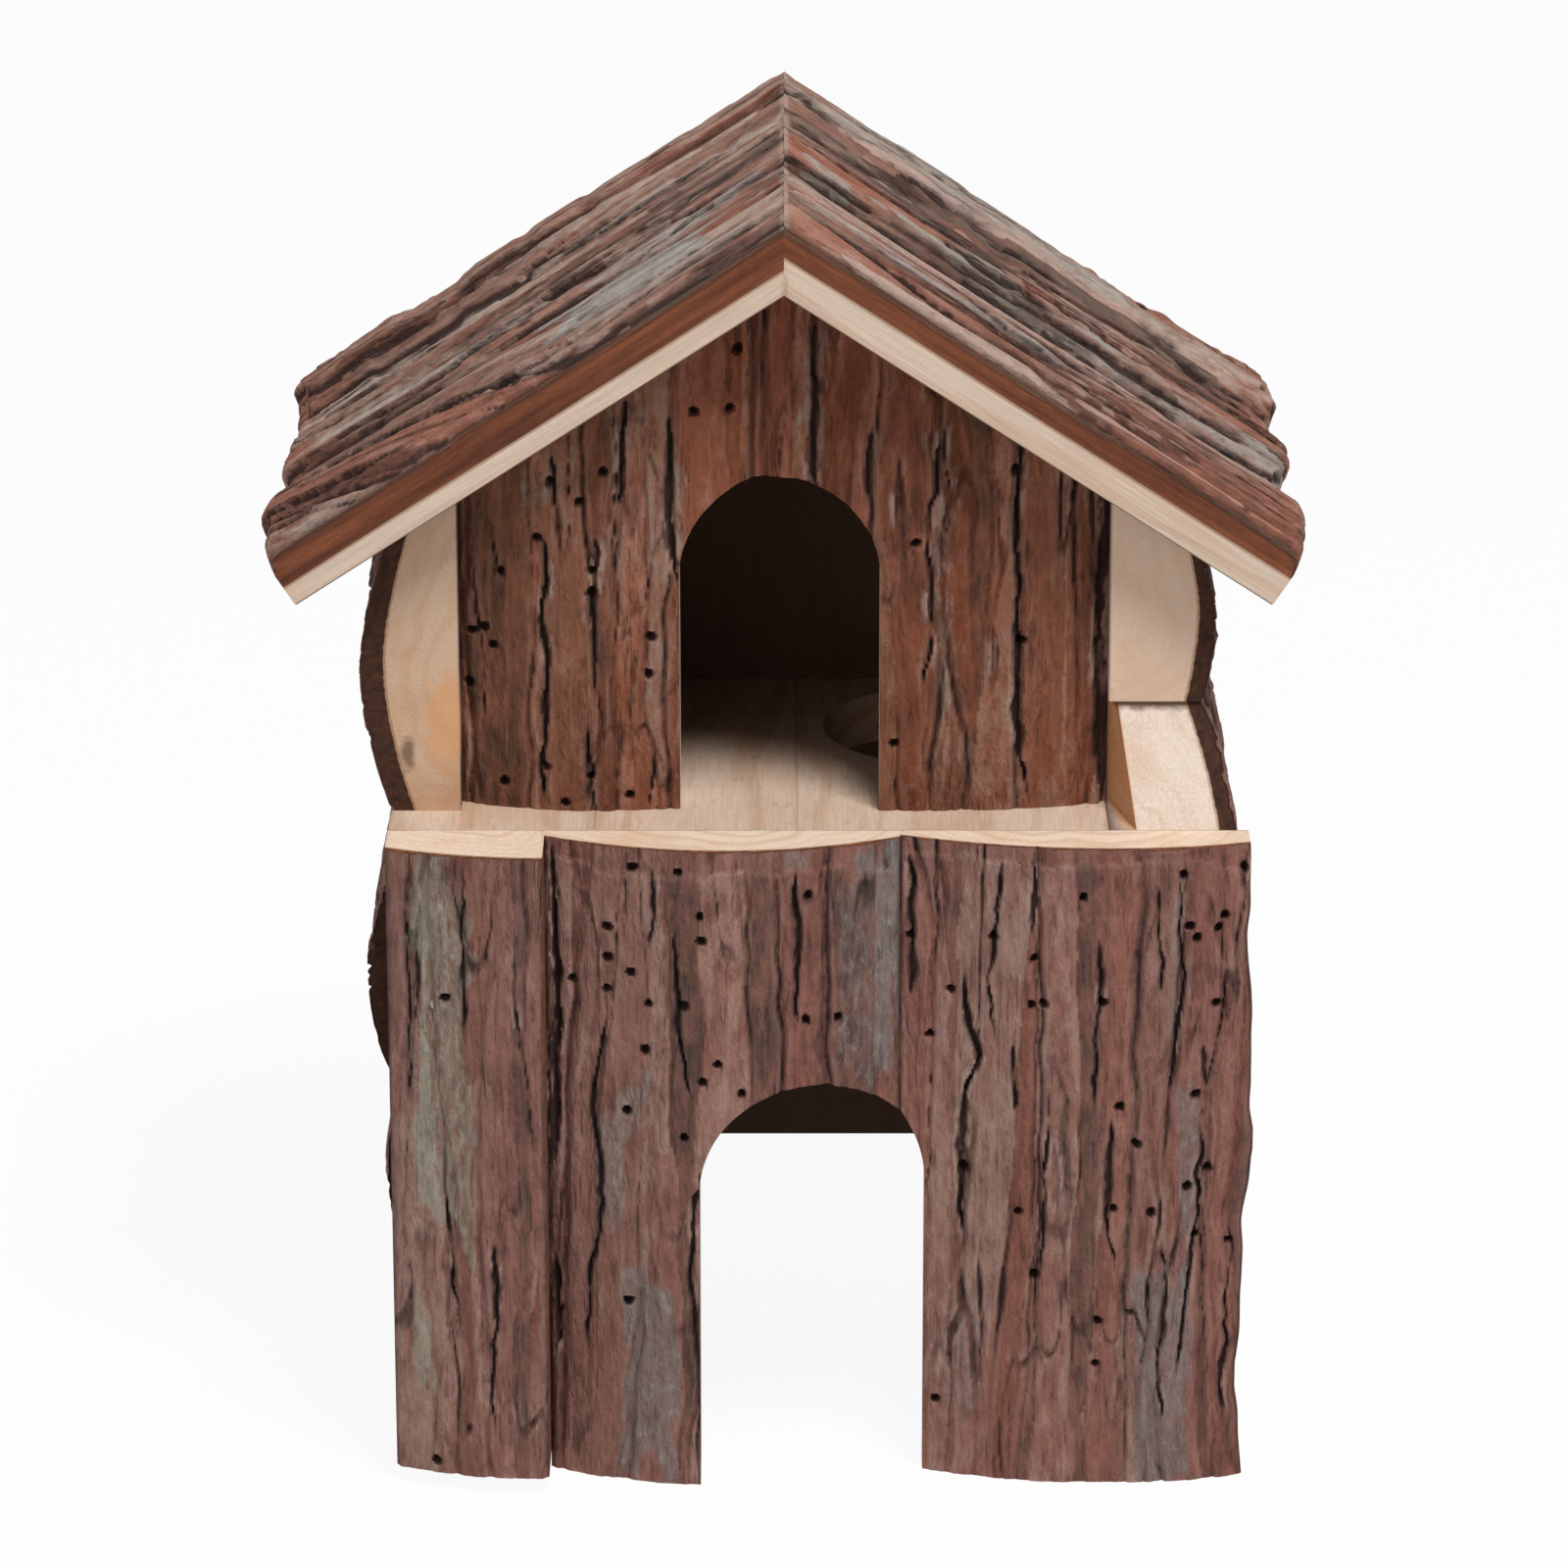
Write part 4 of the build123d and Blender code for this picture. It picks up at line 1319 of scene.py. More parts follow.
@dataclass(frozen=True)
class BarkedLog:
    """Conifer log sawn in half with its bark left on.

    The bark is fibrous cork: dull, in long strips that differ a little in colour, black with painted
    shade where it has split and in its hollows, pale and grey-green where lichen grows, and paler with a
    painted highlight on its raised relief. Where it was sawn through it is a speckled, layered
    orange-brown, and inside it the bare wood shows.
    """

    name: str
    tones: tuple[str, str, str, str, str]
    casts: tuple[str, str, str, str]
    # Colour of the painted shade in splits, hollows, gaps and beetle holes, and of dark joints and
    # hairlines.
    shade_and_line_colour: str = "#2a1916"
    # Pale of raised relief: partly a painted highlight, partly the real pale of torn lips and worn ends.
    worn: str = "#a88c80"
    green_lichen: str = "#968f7f"
    grey_lichen: str = "#7a7474"
    fleck: str = "#aba399"
    cut_dark: str = "#5a3220"
    cut_light: str = "#84502f"
    seam: str = "#8a5a35"
    end_grain: str = "#fbf0e4"
    # Painted shade darkens the sawn backs, the inner faces that stand in the dark of the rooms.
    sawn_back: str = "#5e4638"
    stain: str = "#e6b890"
    wood: Softwood = Softwood()
    knots_and_painted_light: tuple[TintedSpot, ...] = ()
    mottle: Point = (3.2, 9.0)
    mottle_share: float = 1.15
    tone_share: float = 0.75
    cast_share: float = 0.4
    hair: Point = (3.0, 36.0)
    hair_width: float = 0.034
    hair_dark: float = 0.18
    fibre: Point = (1.0, 4.5)
    crust: Point = (1.3, 3.2)
    cut_layer: Point = (1.6, 34.0)
    cut_speck: Point = (0.5, 3.0)
    cut_speck_light: Span = (0.8, 1.2)
    cut_blend: float = 0.5
    cut_edge: Span = (-0.7, 0.3)
    cut_smooth: float = 0.85
    fibre_light: Span = (0.84, 1.16)
    crust_light: Span = (0.84, 1.14)
    hair_gaps: Span = (0.36, 0.58)
    hair_cover: Span = (0.95, 0.1)
    wear_and_highlight_share: float = 0.3
    lichen_crust: float = 1.6
    lichen_fibre: float = 0.9
    lichen_edge: Span = (1.65, 2.65)
    lichen_share: Span = (0.0, 0.85)
    fleck_edge: Span = (0.56, 0.7)
    fleck_share: Span = (0.0, 0.75)
    # How the painted shade and the dark joints are roughened by the crust and laid on.
    shade_crust: float = 1.1
    shade_edge: Span = (0.64, 1.3)
    shade_share: Span = (0.0, 0.93)
    crust_depth: float = 0.5
    fibre_depth: float = 0.35
    mottle_depth: float = 1.4
    hair_depth: float = -0.3
    wood_wave: float = 0.5
    wood_edge: Span = (-0.1, 0.1)
    seam_place: float = 0.15
    seam_half: float = 0.35
    seam_share: float = 0.55
    knot_waves: float = 0.35
    knot_waver: float = 1.2
    knot_fade: float = 0.6
    bark_roughness: float = 0.9
    gloss: float = 0.3

    def surface(self, mixer: Mixer) -> tuple[Socket, Socket]:
        """Adds the nodes of the bark's outer face.

        Args:
            mixer: The material's nodes.

        Returns:
            Its colour and its relief in millimetres.
        """
        fibre = mixer.noise(self.fibre, 4.0, 0.6)
        mottle = mixer.noise(self.mottle, 5.0, 0.62)
        crust = mixer.noise(self.crust, 5.0, 0.7)
        strand = mixer.math("SUBTRACT", mixer.noise(self.hair, 4.0, 0.55), 0.5)
        hair = mixer.remap(mixer.math("ABSOLUTE", strand), (0.0, self.hair_width), (1.0, 0.0))
        hair = mixer.math("MULTIPLY", hair, mixer.remap(mottle, self.hair_gaps, self.hair_cover))
        tone = mixer.math("MULTIPLY", mixer.mark("tone"), self.tone_share)
        tone = mixer.math("MULTIPLY_ADD", mottle, self.mottle_share, tone)
        tone = mixer.math("SUBTRACT", tone, (self.tone_share + self.mottle_share - 1) / 2)
        cast = mixer.ramp(mixer.mark("cast"), 0.05, 0.3, self.casts)
        colour = mixer.blend(self.cast_share, mixer.ramp(tone, 0.08, 0.21, self.tones), cast)
        grey = mixer.blend(mixer.mark("hue"), self.green_lichen, self.grey_lichen)
        shade = mixer.remap(fibre, NEARLY_ALL, self.fibre_light)
        grit = mixer.remap(crust, MOST, self.crust_light)
        colour, grey = (mixer.tint(mixer.tint(face, shade), grit) for face in (colour, grey))
        # Raised relief made paler: partly painted highlight, partly pale torn lips and worn ends.
        worn = mixer.math("MULTIPLY", mixer.mark("ridge"), self.wear_and_highlight_share)
        colour = mixer.blend(worn, colour, self.worn)
        lichen = mixer.mark("lichen")
        spread = mixer.math("MULTIPLY_ADD", crust, self.lichen_crust, lichen)
        spread = mixer.math("MULTIPLY_ADD", fibre, self.lichen_fibre, spread)
        spread = mixer.remap(spread, self.lichen_edge, self.lichen_share)
        colour = mixer.blend(spread, colour, grey)
        fleck = mixer.remap(crust, self.fleck_edge, self.fleck_share)
        colour = mixer.blend(mixer.math("MULTIPLY", fleck, lichen), colour, self.fleck)
        # Painted shade: black in hollows, splits and gaps, on steep sides and in beetle holes, along with
        # dark joints and hairlines.
        deep = mixer.math("MULTIPLY_ADD", crust, self.shade_crust, mixer.mark("painted_shade_and_joints"))
        dark = mixer.remap(deep, self.shade_edge, self.shade_share)
        dark = mixer.math("MAXIMUM", dark, mixer.math("MULTIPLY", hair, self.hair_dark))
        dark = mixer.math("MAXIMUM", dark, mixer.mark("hole"))
        relief = mixer.math("MULTIPLY", crust, self.crust_depth)
        finer = ((fibre, self.fibre_depth), (mottle, self.mottle_depth), (hair, self.hair_depth))
        for height, depth in finer:
            relief = mixer.math("MULTIPLY_ADD", height, depth, relief)
        return mixer.blend(dark, colour, self.shade_and_line_colour), relief

    def sawn_wood(self, mixer: Mixer) -> tuple[Socket, Socket]:
        """Adds the nodes of the wood inside the bark: tinted on end grain, darker with painted shade on
        the rough back.

        Args:
            mixer: The material's nodes.

        Returns:
            Its colour and its relief in millimetres.
        """
        colour, relief = self.wood.weave(mixer)
        # The backs' tint is painted shade; the end grain and the flared face take their own tints.
        for name, tint in (("end", self.end_grain), ("back", self.sawn_back), ("stain", self.stain)):
            colour = mixer.tint(colour, tint, mixer.mark(name))
        for spot in self.knots_and_painted_light:
            away = mixer.vector("SUBTRACT", mixer.grain, spot.place)
            away = mixer.length(mixer.vector("MULTIPLY", away, tuple(1 / h for h in spot.half)))
            ripple = {"Vector": mixer.grain, "Scale": self.knot_waves, "Detail": 3.0}
            ripple = add(mixer.tree, "TexNoise", ripple, "Fac")
            away = mixer.math("MULTIPLY_ADD", ripple, self.knot_waver, away)
            edge = (self.knot_waver, self.knot_waver + self.knot_fade)
            colour = mixer.blend(mixer.remap(away, edge, (spot.strength, 0.0)), colour, spot.colour)
        return colour, relief

    def material(self) -> bpy.types.Material:
        """Mixes bark, cut bark and bare wood, told apart by depth under the bark.

        Returns:
            The material.
        """
        mixer = Mixer(self.name, "grain")
        bark, bark_relief = self.surface(mixer)
        wood, wood_relief = self.sawn_wood(mixer)
        wave = mixer.noise(self.cut_layer, 4.0)
        sawn = mixer.blend(mixer.remap(wave, MOST), self.cut_dark, self.cut_light)
        speck = mixer.remap(mixer.noise(self.cut_speck, 4.0, 0.65), MOST, self.cut_speck_light)
        sawn = mixer.tint(sawn, speck)
        ragged = mixer.math("MULTIPLY_ADD", wave, -2 * self.cut_blend, mixer.mark("skin"))
        is_cut = mixer.remap(ragged, tuple(edge * self.cut_blend for edge in self.cut_edge))
        bark = mixer.blend(is_cut, bark, sawn)
        inside = mixer.math("MULTIPLY_ADD", wave, self.wood_wave, mixer.mark("heart"))
        inside = mixer.math("SUBTRACT", inside, self.wood_wave / 2)
        is_wood = mixer.remap(inside, self.wood_edge)
        near = mixer.math("COMPARE", inside, self.seam_place, self.seam_half)
        wood = mixer.blend(mixer.math("MULTIPLY", near, self.seam_share), wood, self.seam)
        rough = mixer.math("MULTIPLY_ADD", is_cut, -self.cut_smooth, 1.0)
        bark_relief = mixer.math("MULTIPLY", bark_relief, rough)
        relief = {FACTOR: is_wood, FLOAT_A: bark_relief, FLOAT_B: wood_relief}
        roughness = {FACTOR: is_wood, FLOAT_A: self.bark_roughness, FLOAT_B: self.wood.roughness}
        look = {
            "Base_Color": mixer.blend(is_wood, bark, wood),
            "Roughness": add(mixer.tree, "Mix", roughness),
            "Specular_IOR_Level": self.gloss,
        }
        return mixer.finished(add(mixer.tree, "Mix", relief), **look)


@dataclass(frozen=True)
class WireNail:
    """Drawn steel wire: bright but dulled by drawing grease, with a few rust freckles."""

    steel: str = "#9a9894"
    rust: str = "#6b4a36"
    freckle: float = 0.5
    rust_edge: Span = (0.56, 0.7)
    dullness: Span = (0.32, 0.7)

    def material(self) -> bpy.types.Material:
        """Mixes steel and rust.

        Returns:
            The material.
        """
        mixer = Mixer("drawn_steel_wire", None)
        speck = {"Vector": mixer.grain, "Scale": 1 / self.freckle, "Detail": 4.0}
        speck = add(mixer.tree, "TexNoise", speck, "Fac")
        colour = mixer.blend(mixer.remap(speck, self.rust_edge), self.steel, self.rust)
        roughness = mixer.remap(speck, MOST, self.dullness)
        return mixer.finished(Base_Color=colour, Roughness=roughness, Metallic=1.0)


class Slot(Enum):
    """Names of material slots for logs and boards."""

    BARK = "bark_half_log"
    WOOD = "sawn_softwood"


class Body(Enum):
    """The bodies that pieces ride on."""

    HOUSE = "house"
    ROOF = "roof"


class Side(Enum):
    """The cabin's sides, as seen from the front."""

    LEFT = "left"
    RIGHT = "right"

    @property
    def way(self) -> int:
        """Its direction along X."""
        return -1 if self is Side.LEFT else 1


# Smooth, closely pressed strips on the panels; deeper, looser plates on the roof and the side walls.
PANEL_FORM = BarkForm(
    layers=(
        Layer((9, 230), 0.1, 0.65, 1.6, 1.9),
        Layer((5.5, 150), -0.1, 0.65, 1.4, 1.4),
        Layer((3.4, 140), -0.45, 0.35, 0.8, 0.8),
    ),
    grooves=(Groove((9, 80), 0.55, 0.7), Groove((4.5, 34), 0.4, 0.4)),
    chip_lift=0.16,
    line=1.15,
)
GABLE_FORM = BarkForm(
    layers=(
        Layer((10, 240), 0.1, 0.6, 1.6, 1.8),
        Layer((5.5, 160), -0.1, 0.6, 1.4, 1.3),
        Layer((3.4, 160), -0.5, 0.3, 0.8, 0.8),
    ),
    grooves=(Groove((8, 70), 0.7, 0.9), Groove((4.2, 30), 0.45, 0.45)),
    line=1,
)
ROOF_FORM = BarkForm(
    layers=(
        Layer((5.2, 150), 0, 0.6, 2.6, 1.1),
        Layer((9.5, 190), -0.25, 0.9, 2.6, 1.4),
        Layer((3.4, 80), -1.7, 0.4, 1, 0.7),
    ),
    grooves=(Groove((9, 240), 1.4, 1.6), Groove((3.8, 110), 0.8, 0.8)),
    wander=3,
    ripple=0.25,
    torn=5,
    stretch=2,
    chip=(3.2, 20),
    chip_lift=0.16,
    fibre=0.12,
    hollow=1.1,
    gulf=1.6,
    line=0.1,
    shade=0.1,
    calm=0.4,
)
REAR_FORM = replace(ROOF_FORM, lumps=1.4)
WALL_FORM = BarkForm(
    layers=(
        Layer((12, 80), 0, 0.7, 1.4, 1.5),
        Layer((6.5, 52), -0.4, 0.6, 1.1, 1),
        Layer((3.8, 36), -1, 0.4, 0.7, 0.7),
    ),
    grooves=(Groove((10, 80), 1.2, 1.2), Groove((4.5, 40), 0.6, 0.6)),
    chip_lift=0.2,
    hollow=1.1,
    calm=0.7,
    loose_holes=6,
)

PANEL_TONES = ("#4b322c", "#7a4d42", "#8f5e53", "#9b6e62", "#b28e82")
PANEL_CASTS = ("#71584d", "#7a5a51", "#83584f", "#8b5644")
GABLE_TONES = ("#40251c", "#6f3e2c", "#874f39", "#925b45", "#a77f6d")
GABLE_CASTS = ("#6b4e3b", "#754832", "#80472e", "#8a4726")
ROOF_TONES = ("#462d24", "#835243", "#9c6757", "#aa8879", "#c4b3a7")
ROOF_CASTS = ("#887769", "#907062", "#956654", "#985e47")

# In the left top log's end: a resin stain and a dead knot. On the right: painted shade in the joint over
# the cheek, and painted light that makes the top log's end paler.
WALL_KNOTS_AND_PAINTED_LIGHT = (
    TintedSpot((-14.2, 9284, 24.8), (10, 8, 4.4), "#d79f6d", 0.7),
    TintedSpot((-20.3, 9284, 32.2), (3.4, 6, 1.5), "#77634f", 0.9),
    TintedSpot((38, 10983.5, 35.7), (1.7, 5, 19), "#5d4030", 0.85),
    TintedSpot((0, 11183, 24.6), (40, 8, 26), "#f4d9c4", 0.38),
)


@dataclass
class Assembly:
    """A group of pieces that ride on one body."""

    body: Body = Body.HOUSE
    pieces: list[bpy.types.Object] = field(default_factory=list)

    def build(self) -> None:
        """Makes the pieces."""
        raise NotImplementedError

    def settle(self, piece: bpy.types.Object, node: str, slot: Slot) -> None:
        """Puts a piece in its node's place.

        Args:
            piece: The piece.
            node: The CAD node that it stands for.
            slot: The material slot meant for it; not used.
        """
        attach(piece, self.body.value)
        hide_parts(node)
        self.pieces.append(piece)

    def dress(self, material: bpy.types.Material) -> None:
        """Gives every piece its material.

        Args:
            material: The material.
        """
        for piece in self.pieces:
            piece.data.materials.clear()
            piece.data.materials.append(material)


def seat_cuts(apex: float, left: float, foot: float) -> tuple[Cut, Cut]:
    """Slanted tops of an upright log under the two pitches.

    Args:
        apex: Height of the seat's top line at the ridge.
        left: X of the log's left edge.
        foot: Height of the log's foot.

    Returns:
        One cut for each pitch.
    """
    point = (-left, apex - foot)
    rise = math.tan(ROOF_PITCH)
    return Slant(point, (-rise, 1.0)), Slant(point, (rise, 1.0))


FRONT_GROWTH = {
    "left": Growth(
        splits=(
            Split(((3, 124), (4.1, 92), (4.6, 78)), 0.7, 0.9),
            Split(((14.8, 126), (14.7, 107), (15.3, 89)), 0.9, 1.1),
            Split(((24, 122), (25, 99), (27.4, 81), (27.9, 65)), 0.7, 0.9),
            Split(((10.5, 60), (12, 40), (13.5, 28)), 0.9, 1.2),
            Split(((19.5, 52), (20, 30), (19.5, 8)), 1, 1.2),
        ),
        lichens=(Lichen((7, 47), (15.6, 128), 0, 1.8), Lichen((3, 16), (8, 34), 0, 1.2)),
        holes=((11.1, 98.5), (8, 2.5)),
    ),
    "middle": Growth(
        splits=(
            Split(((1.6, 130), (1.9, 104), (1.2, 86), (0.8, 60)), 4.2, 2.6),
            Split(((1, 46), (1.6, 36), (1, 24)), 3, 2),
            Split(((11.6, 102), (9.7, 82), (10, 68), (8.4, 44), (7.5, 23)), 1.1, 1.6),
            Split(((15.6, 125), (14.8, 116)), 0.9, 1),
            Split(((21, 127), (20.2, 117), (18.9, 110)), 0.9, 1.1),
            Split(((24.2, 116), (24.6, 105), (25.4, 94), (27.8, 79)), 1, 1.3),
            Split(((47.4, 128), (48.2, 112), (46.8, 94)), 1.2, 1.5),
            Split(((29, 70), (27.5, 48), (28.2, 30)), 1.1, 1.4),
        ),
        lichens=(
            Lichen((46.5, 112), (51, 130), 0.9, 0.8),
            Lichen((54.5, 84), (66.5, 129), 0.9, 1.3),
            Lichen((9, 50), (15.5, 80), 0.6, 1),
            Lichen((14, 1), (23, 44), 0.9, 1.05),
        ),
        holes=(
            (16.8, 126.5), (25.4, 126), (11.9, 114.3), (29.4, 117.6), (29.8, 112.7), (12, 108.1),
            (16.4, 105.5), (5.3, 102.8), (11.8, 101.8), (19.7, 99.4), (26.4, 99.4), (18.9, 90),
            (30, 84), (15.3, 77.4), (26.3, 72.3), (49.7, 121.2), (55.5, 96.2), (49.4, 96.2),
            (37.3, 81.8), (32.7, 87.8), (15.5, 38),
        ),
        peel=4.5,
    ),
    "right": Growth(
        splits=(
            Split(((12.2, 106), (13.4, 94), (15.3, 87.6), (13.1, 81.6), (12.5, 71.5), (12.2, 50)), 2, 2),
            Split(((18.6, 129), (17.7, 112), (17, 101.6), (19, 89)), 1.2, 1.5),
            Split(((25.6, 129), (25.8, 113)), 1.2, 1.4),
            Split(((37.8, 113), (38.2, 99), (37.8, 86.6), (37, 76)), 1.1, 1.4),
            Split(((47.6, 125), (47.9, 115), (48.8, 108), (48.7, 100)), 1, 1.3),
            Split(((52, 126), (52.4, 112.5), (53.5, 105.5), (52.4, 94), (50.4, 79)), 1, 1.4),
            Split(((40, 77), (41, 64), (40.9, 43)), 1.2, 1.4),
            Split(((57.1, 91), (58.4, 82)), 0.9, 1),
            Split(((58, 75), (57.1, 64), (56.2, 44), (54.7, 22)), 1.3, 1.5),
            Split(((28.4, 86), (28.3, 76), (27.7, 64), (27, 42)), 1.1, 1.3),
            Split(((21.4, 91), (21.7, 76)), 1, 1.2),
            Split(((64.5, 58), (65.2, 34), (64.6, 10)), 0.9, 1.2),
            Split(((50.2, 50), (51.4, 40), (50.8, 26), (52, 12)), 1.5, 1.2),
            Split(((47.4, 44), (48, 33), (47.2, 22)), 1, 0.9),
            Split(((2.4, 128), (3.2, 112), (1.6, 98)), 1.6, 1.6),
        ),
        lichens=(
            Lichen((46.5, 1), (57.5, 48), 0.95, 1.05),
            Lichen((49, 92), (53, 128), 0.7, 0.7),
            Lichen((8.5, 12), (18, 40), 0.8, 0.7),
            Lichen((54, 48), (58.5, 82), 0.9, 0.95),
        ),
        holes=(
            (34.5, 120.8), (17.7, 112.1), (25.3, 108.1), (2.1, 110.7), (27.2, 99.2), (25, 98.8),
            (38.4, 99.6), (9.8, 100.8), (5.8, 91), (42, 78.6), (45.2, 71.1), (22.9, 56.5),
            (48.2, 57), (41.1, 57.6), (53.3, 125.3), (66.4, 125.6), (62.5, 116.4), (61.2, 114.1),
            (54.9, 114.8), (56.6, 112.5), (60.4, 99), (56.5, 80.8), (59.1, 65.1), (55.2, 61.8),
            (57.3, 51.5), (64.9, 49.8), (26.1, 43.3), (38.4, 34), (7.5, 15.4), (38.2, 24.8),
            (12.7, 64.1),
        ),
        peel=3.5,
    ),
}

GABLE_GROWTH = {
    "left": Growth(
        splits=(
            Split(((31.5, 83), (30.3, 70), (29.6, 59)), 1.3, 1.6),
            Split(((39.3, 78), (39.6, 64), (40.5, 53), (40.8, 45)), 2, 1.7),
            Split(((16.9, 56), (16, 42), (16.6, 32), (16.4, 18), (15.5, 0)), 1.4, 1.8),
            Split(((25.4, 58), (25.4, 44), (25.7, 37), (26.8, 28)), 0.9, 1.2),
            Split(((2.2, 52), (2.8, 40), (4.1, 30), (3.4, 12)), 0.9, 1.1),
            Split(((17.6, 71), (17.9, 60)), 1.1, 1.3),
            Split(((24.6, 17), (24, 1)), 0.9, 1.1),
        ),
        lichens=(
            Lichen((10, 58), (16, 70), 0.2, 0.8),
            Lichen((38.6, 50), (41, 74), 0.1, 0.8),
            Lichen((34, 20), (39, 62), 0.9, 0.5),
        ),
        holes=(
            (27.5, 67.4), (23, 61.5), (17.7, 65.3), (15, 54.1), (8.1, 47), (25.3, 47.9),
            (25.1, 43.5), (2.5, 34.9), (4.6, 35.7), (6.4, 32.2), (1.8, 24.3), (36.3, 34.7),
            (35.9, 27.3), (16.1, 8.6), (8.3, 5), (24.7, 6.6), (19.8, 1.6), (32.2, 3),
            (44.6, 78.9), (52.7, 90.3), (51.2, 78.7),
        ),
    ),
    "right": Growth(
        splits=(
            Split(((11.9, 97), (11.4, 63)), 1.4, 1.6),
            Split(((21.5, 77), (20.6, 62)), 1.1, 1.3),
            Split(((34.3, 76), (33.7, 37), (32.9, 22)), 1.2, 1.4),
            Split(((50, 70), (49.4, 37), (51.7, 0)), 1.5, 1.8),
            Split(((66, 68), (66.4, 36), (65.8, 12), (66.4, -6)), 2.8, 2.2),
        ),
        lichens=(Lichen((34.5, 26), (37.5, 74), 0.3, 0.8), Lichen((8, 66), (12, 90), 0.1, 0.6)),
        holes=((26.8, 13.5), (49.3, 67.4), (50.8, 33.5), (30.8, 53.5)),
    ),
}


FRONT_LOGS = {
    "left": Section(11, 15.5, 17),
    "middle": Section(4.5, 13, 5),
    "right": Section(4, 11.5, 8),
}


@dataclass
class FrontPanel(Assembly):
    """Three upright half-logs, with the lower doorway sawn through two of them."""

    sections: dict[str, Section] = field(default_factory=lambda: FRONT_LOGS)
    door_middle: float = 5.4
    door_half: float = 21.5
    door_height: float = 82.8
    side_rind: float = 20.0
    wane: float = 2.4
    step: Point = (0.36, 0.55)
    first_seed: int = 11

    def build(self) -> None:
        """Makes the three logs."""
        for seed, (name, section) in enumerate(self.sections.items(), self.first_seed):
            node = f"front_slab_{name}"
            low, _ = node_box(node)
            spring = self.door_height - self.door_half - low.z
            door = Archway(self.door_middle - low.x, self.door_half, spring)
            traits = {"form": PANEL_FORM, "seed": seed, "step": self.step, "growth": FRONT_GROWTH[name]}
            log = HalfLog.at_node(node, section, TO_FRONT, side_rind=self.side_rind, **traits)
            log.cuts = () if name == "left" else (door,)
            log.wane = self.wane if name == "right" else 0.0
            self.settle(log.build(), node, Slot.BARK)


@dataclass
class Gable(Assembly):
    """Two upright half-logs under the roof, with the upper doorway between them."""

    section: Section = Section(7.0, 12.0, 7.0)
    door_middle: float = -0.8
    door_half: float = 19.0
    door_height: float = 65.5
    step: Point = (0.45, 0.5)
    first_seed: int = 25

    def build(self) -> None:
        """Makes the two logs."""
        apex = node_box("gable_slab_right")[1].z
        for seed, name in enumerate(("left", "right"), self.first_seed):
            node = f"gable_slab_{name}"
            low, _ = node_box(node)
            door = Archway(self.door_middle - low.x, self.door_half, self.door_height - self.door_half)
            traits = {"form": GABLE_FORM, "seed": seed, "step": self.step, "growth": GABLE_GROWTH[name]}
            log = HalfLog.at_node(node, self.section, TO_FRONT, **traits)
            log.cuts = (door, *seat_cuts(apex, low.x, low.z))
            self.settle(log.build(), node, Slot.BARK)


@dataclass
class BackWall(Assembly):
    """Three upright half-logs, hung clear of the ground."""

    section: Section = Section(6.5, 11.3, 6.5)
    step: Point = (0.6, 0.8)
    first_seed: int = 31

    def build(self) -> None:
        """Makes the three logs."""
        apex = node_box("back_slab_middle")[1].z
        for seed, name in enumerate(("left", "middle", "right"), self.first_seed):
            node = f"back_slab_{name}"
            low, _ = node_box(node)
            traits = {"form": WALL_FORM, "seed": seed, "step": self.step}
            log = HalfLog.at_node(node, self.section, TO_REAR, **traits)
            log.cuts = seat_cuts(apex, low.x, low.z)
            self.settle(log.build(), node, Slot.BARK)


LEFT_COURSES = {
    "bottom": Section(8.5, 12.5, 11.5),
    "second": Section(11.5, 14.8, 11.5),
    "third": Section(13.5, 18, 13.5),
    "top": Section(13.5, 19, 13.5),
}
RIGHT_COURSES = {
    "bottom": Section(18, 25.5, 18),
    "middle": Section(18, 25.5, 18),
    "top": Section(18, 20.2, 18),
}


@dataclass
class SideWall(Assembly):
    """Courses of half-logs on edge, with the grain from front to back."""

    side: Side = Side.LEFT
    sections: dict[str, Section] = field(default_factory=lambda: LEFT_COURSES)
    rind: float = 4.6
    first_seed: int = 41
    cheek: str = ""
    cheek_flare: float = 5.2
    cheek_run: float = 18.0
    cheek_tuck: float = 0.9
    cheek_sill: float = 0.03
    step: Point = (0.55, 0.7)

    def build(self) -> None:
        """Makes the courses, lowest first."""
        axes = (Z_AXIS, Y_AXIS, X_AXIS * self.side.way)
        for seed, (name, section) in enumerate(self.sections.items(), self.first_seed):
            node = f"{self.side.value}_wall_{name}_slab"
            traits = {"form": WALL_FORM, "seed": seed, "rind": self.rind, "step": self.step}
            log = HalfLog.at_node(node, section, axes, **traits)
            if name == "top":
                log.edge_lean = math.tan(ROOF_PITCH)
            if name == self.cheek:
                self.saw_cheek(log)
            self.settle(log.build(), node, Slot.BARK)

    def saw_cheek(self, log: HalfLog) -> None:
        """Gives a log its sloping front above the floor, flared on the inside.

        Args:
            log: The log.
        """
        floor = node_box("floor_board_right")[1].z - log.corner.z
        run = node_box("right_wall_top_slab")[0].y - log.corner.y + self.cheek_tuck
        log.cuts = (Slant((floor, 0.0), (run, floor - log.width)),)
        log.extra_columns = (floor - self.cheek_sill, floor)

        def back(a: Field, b: Field) -> Field:
            """Height of the sawn inner face, cut back above the floor."""
            flare = self.cheek_flare * np.clip(1 - b / self.cheek_run, 0, 1)
            return np.where(a >= floor - 0.5 * self.cheek_sill, flare, 0.0)

        log.back = back


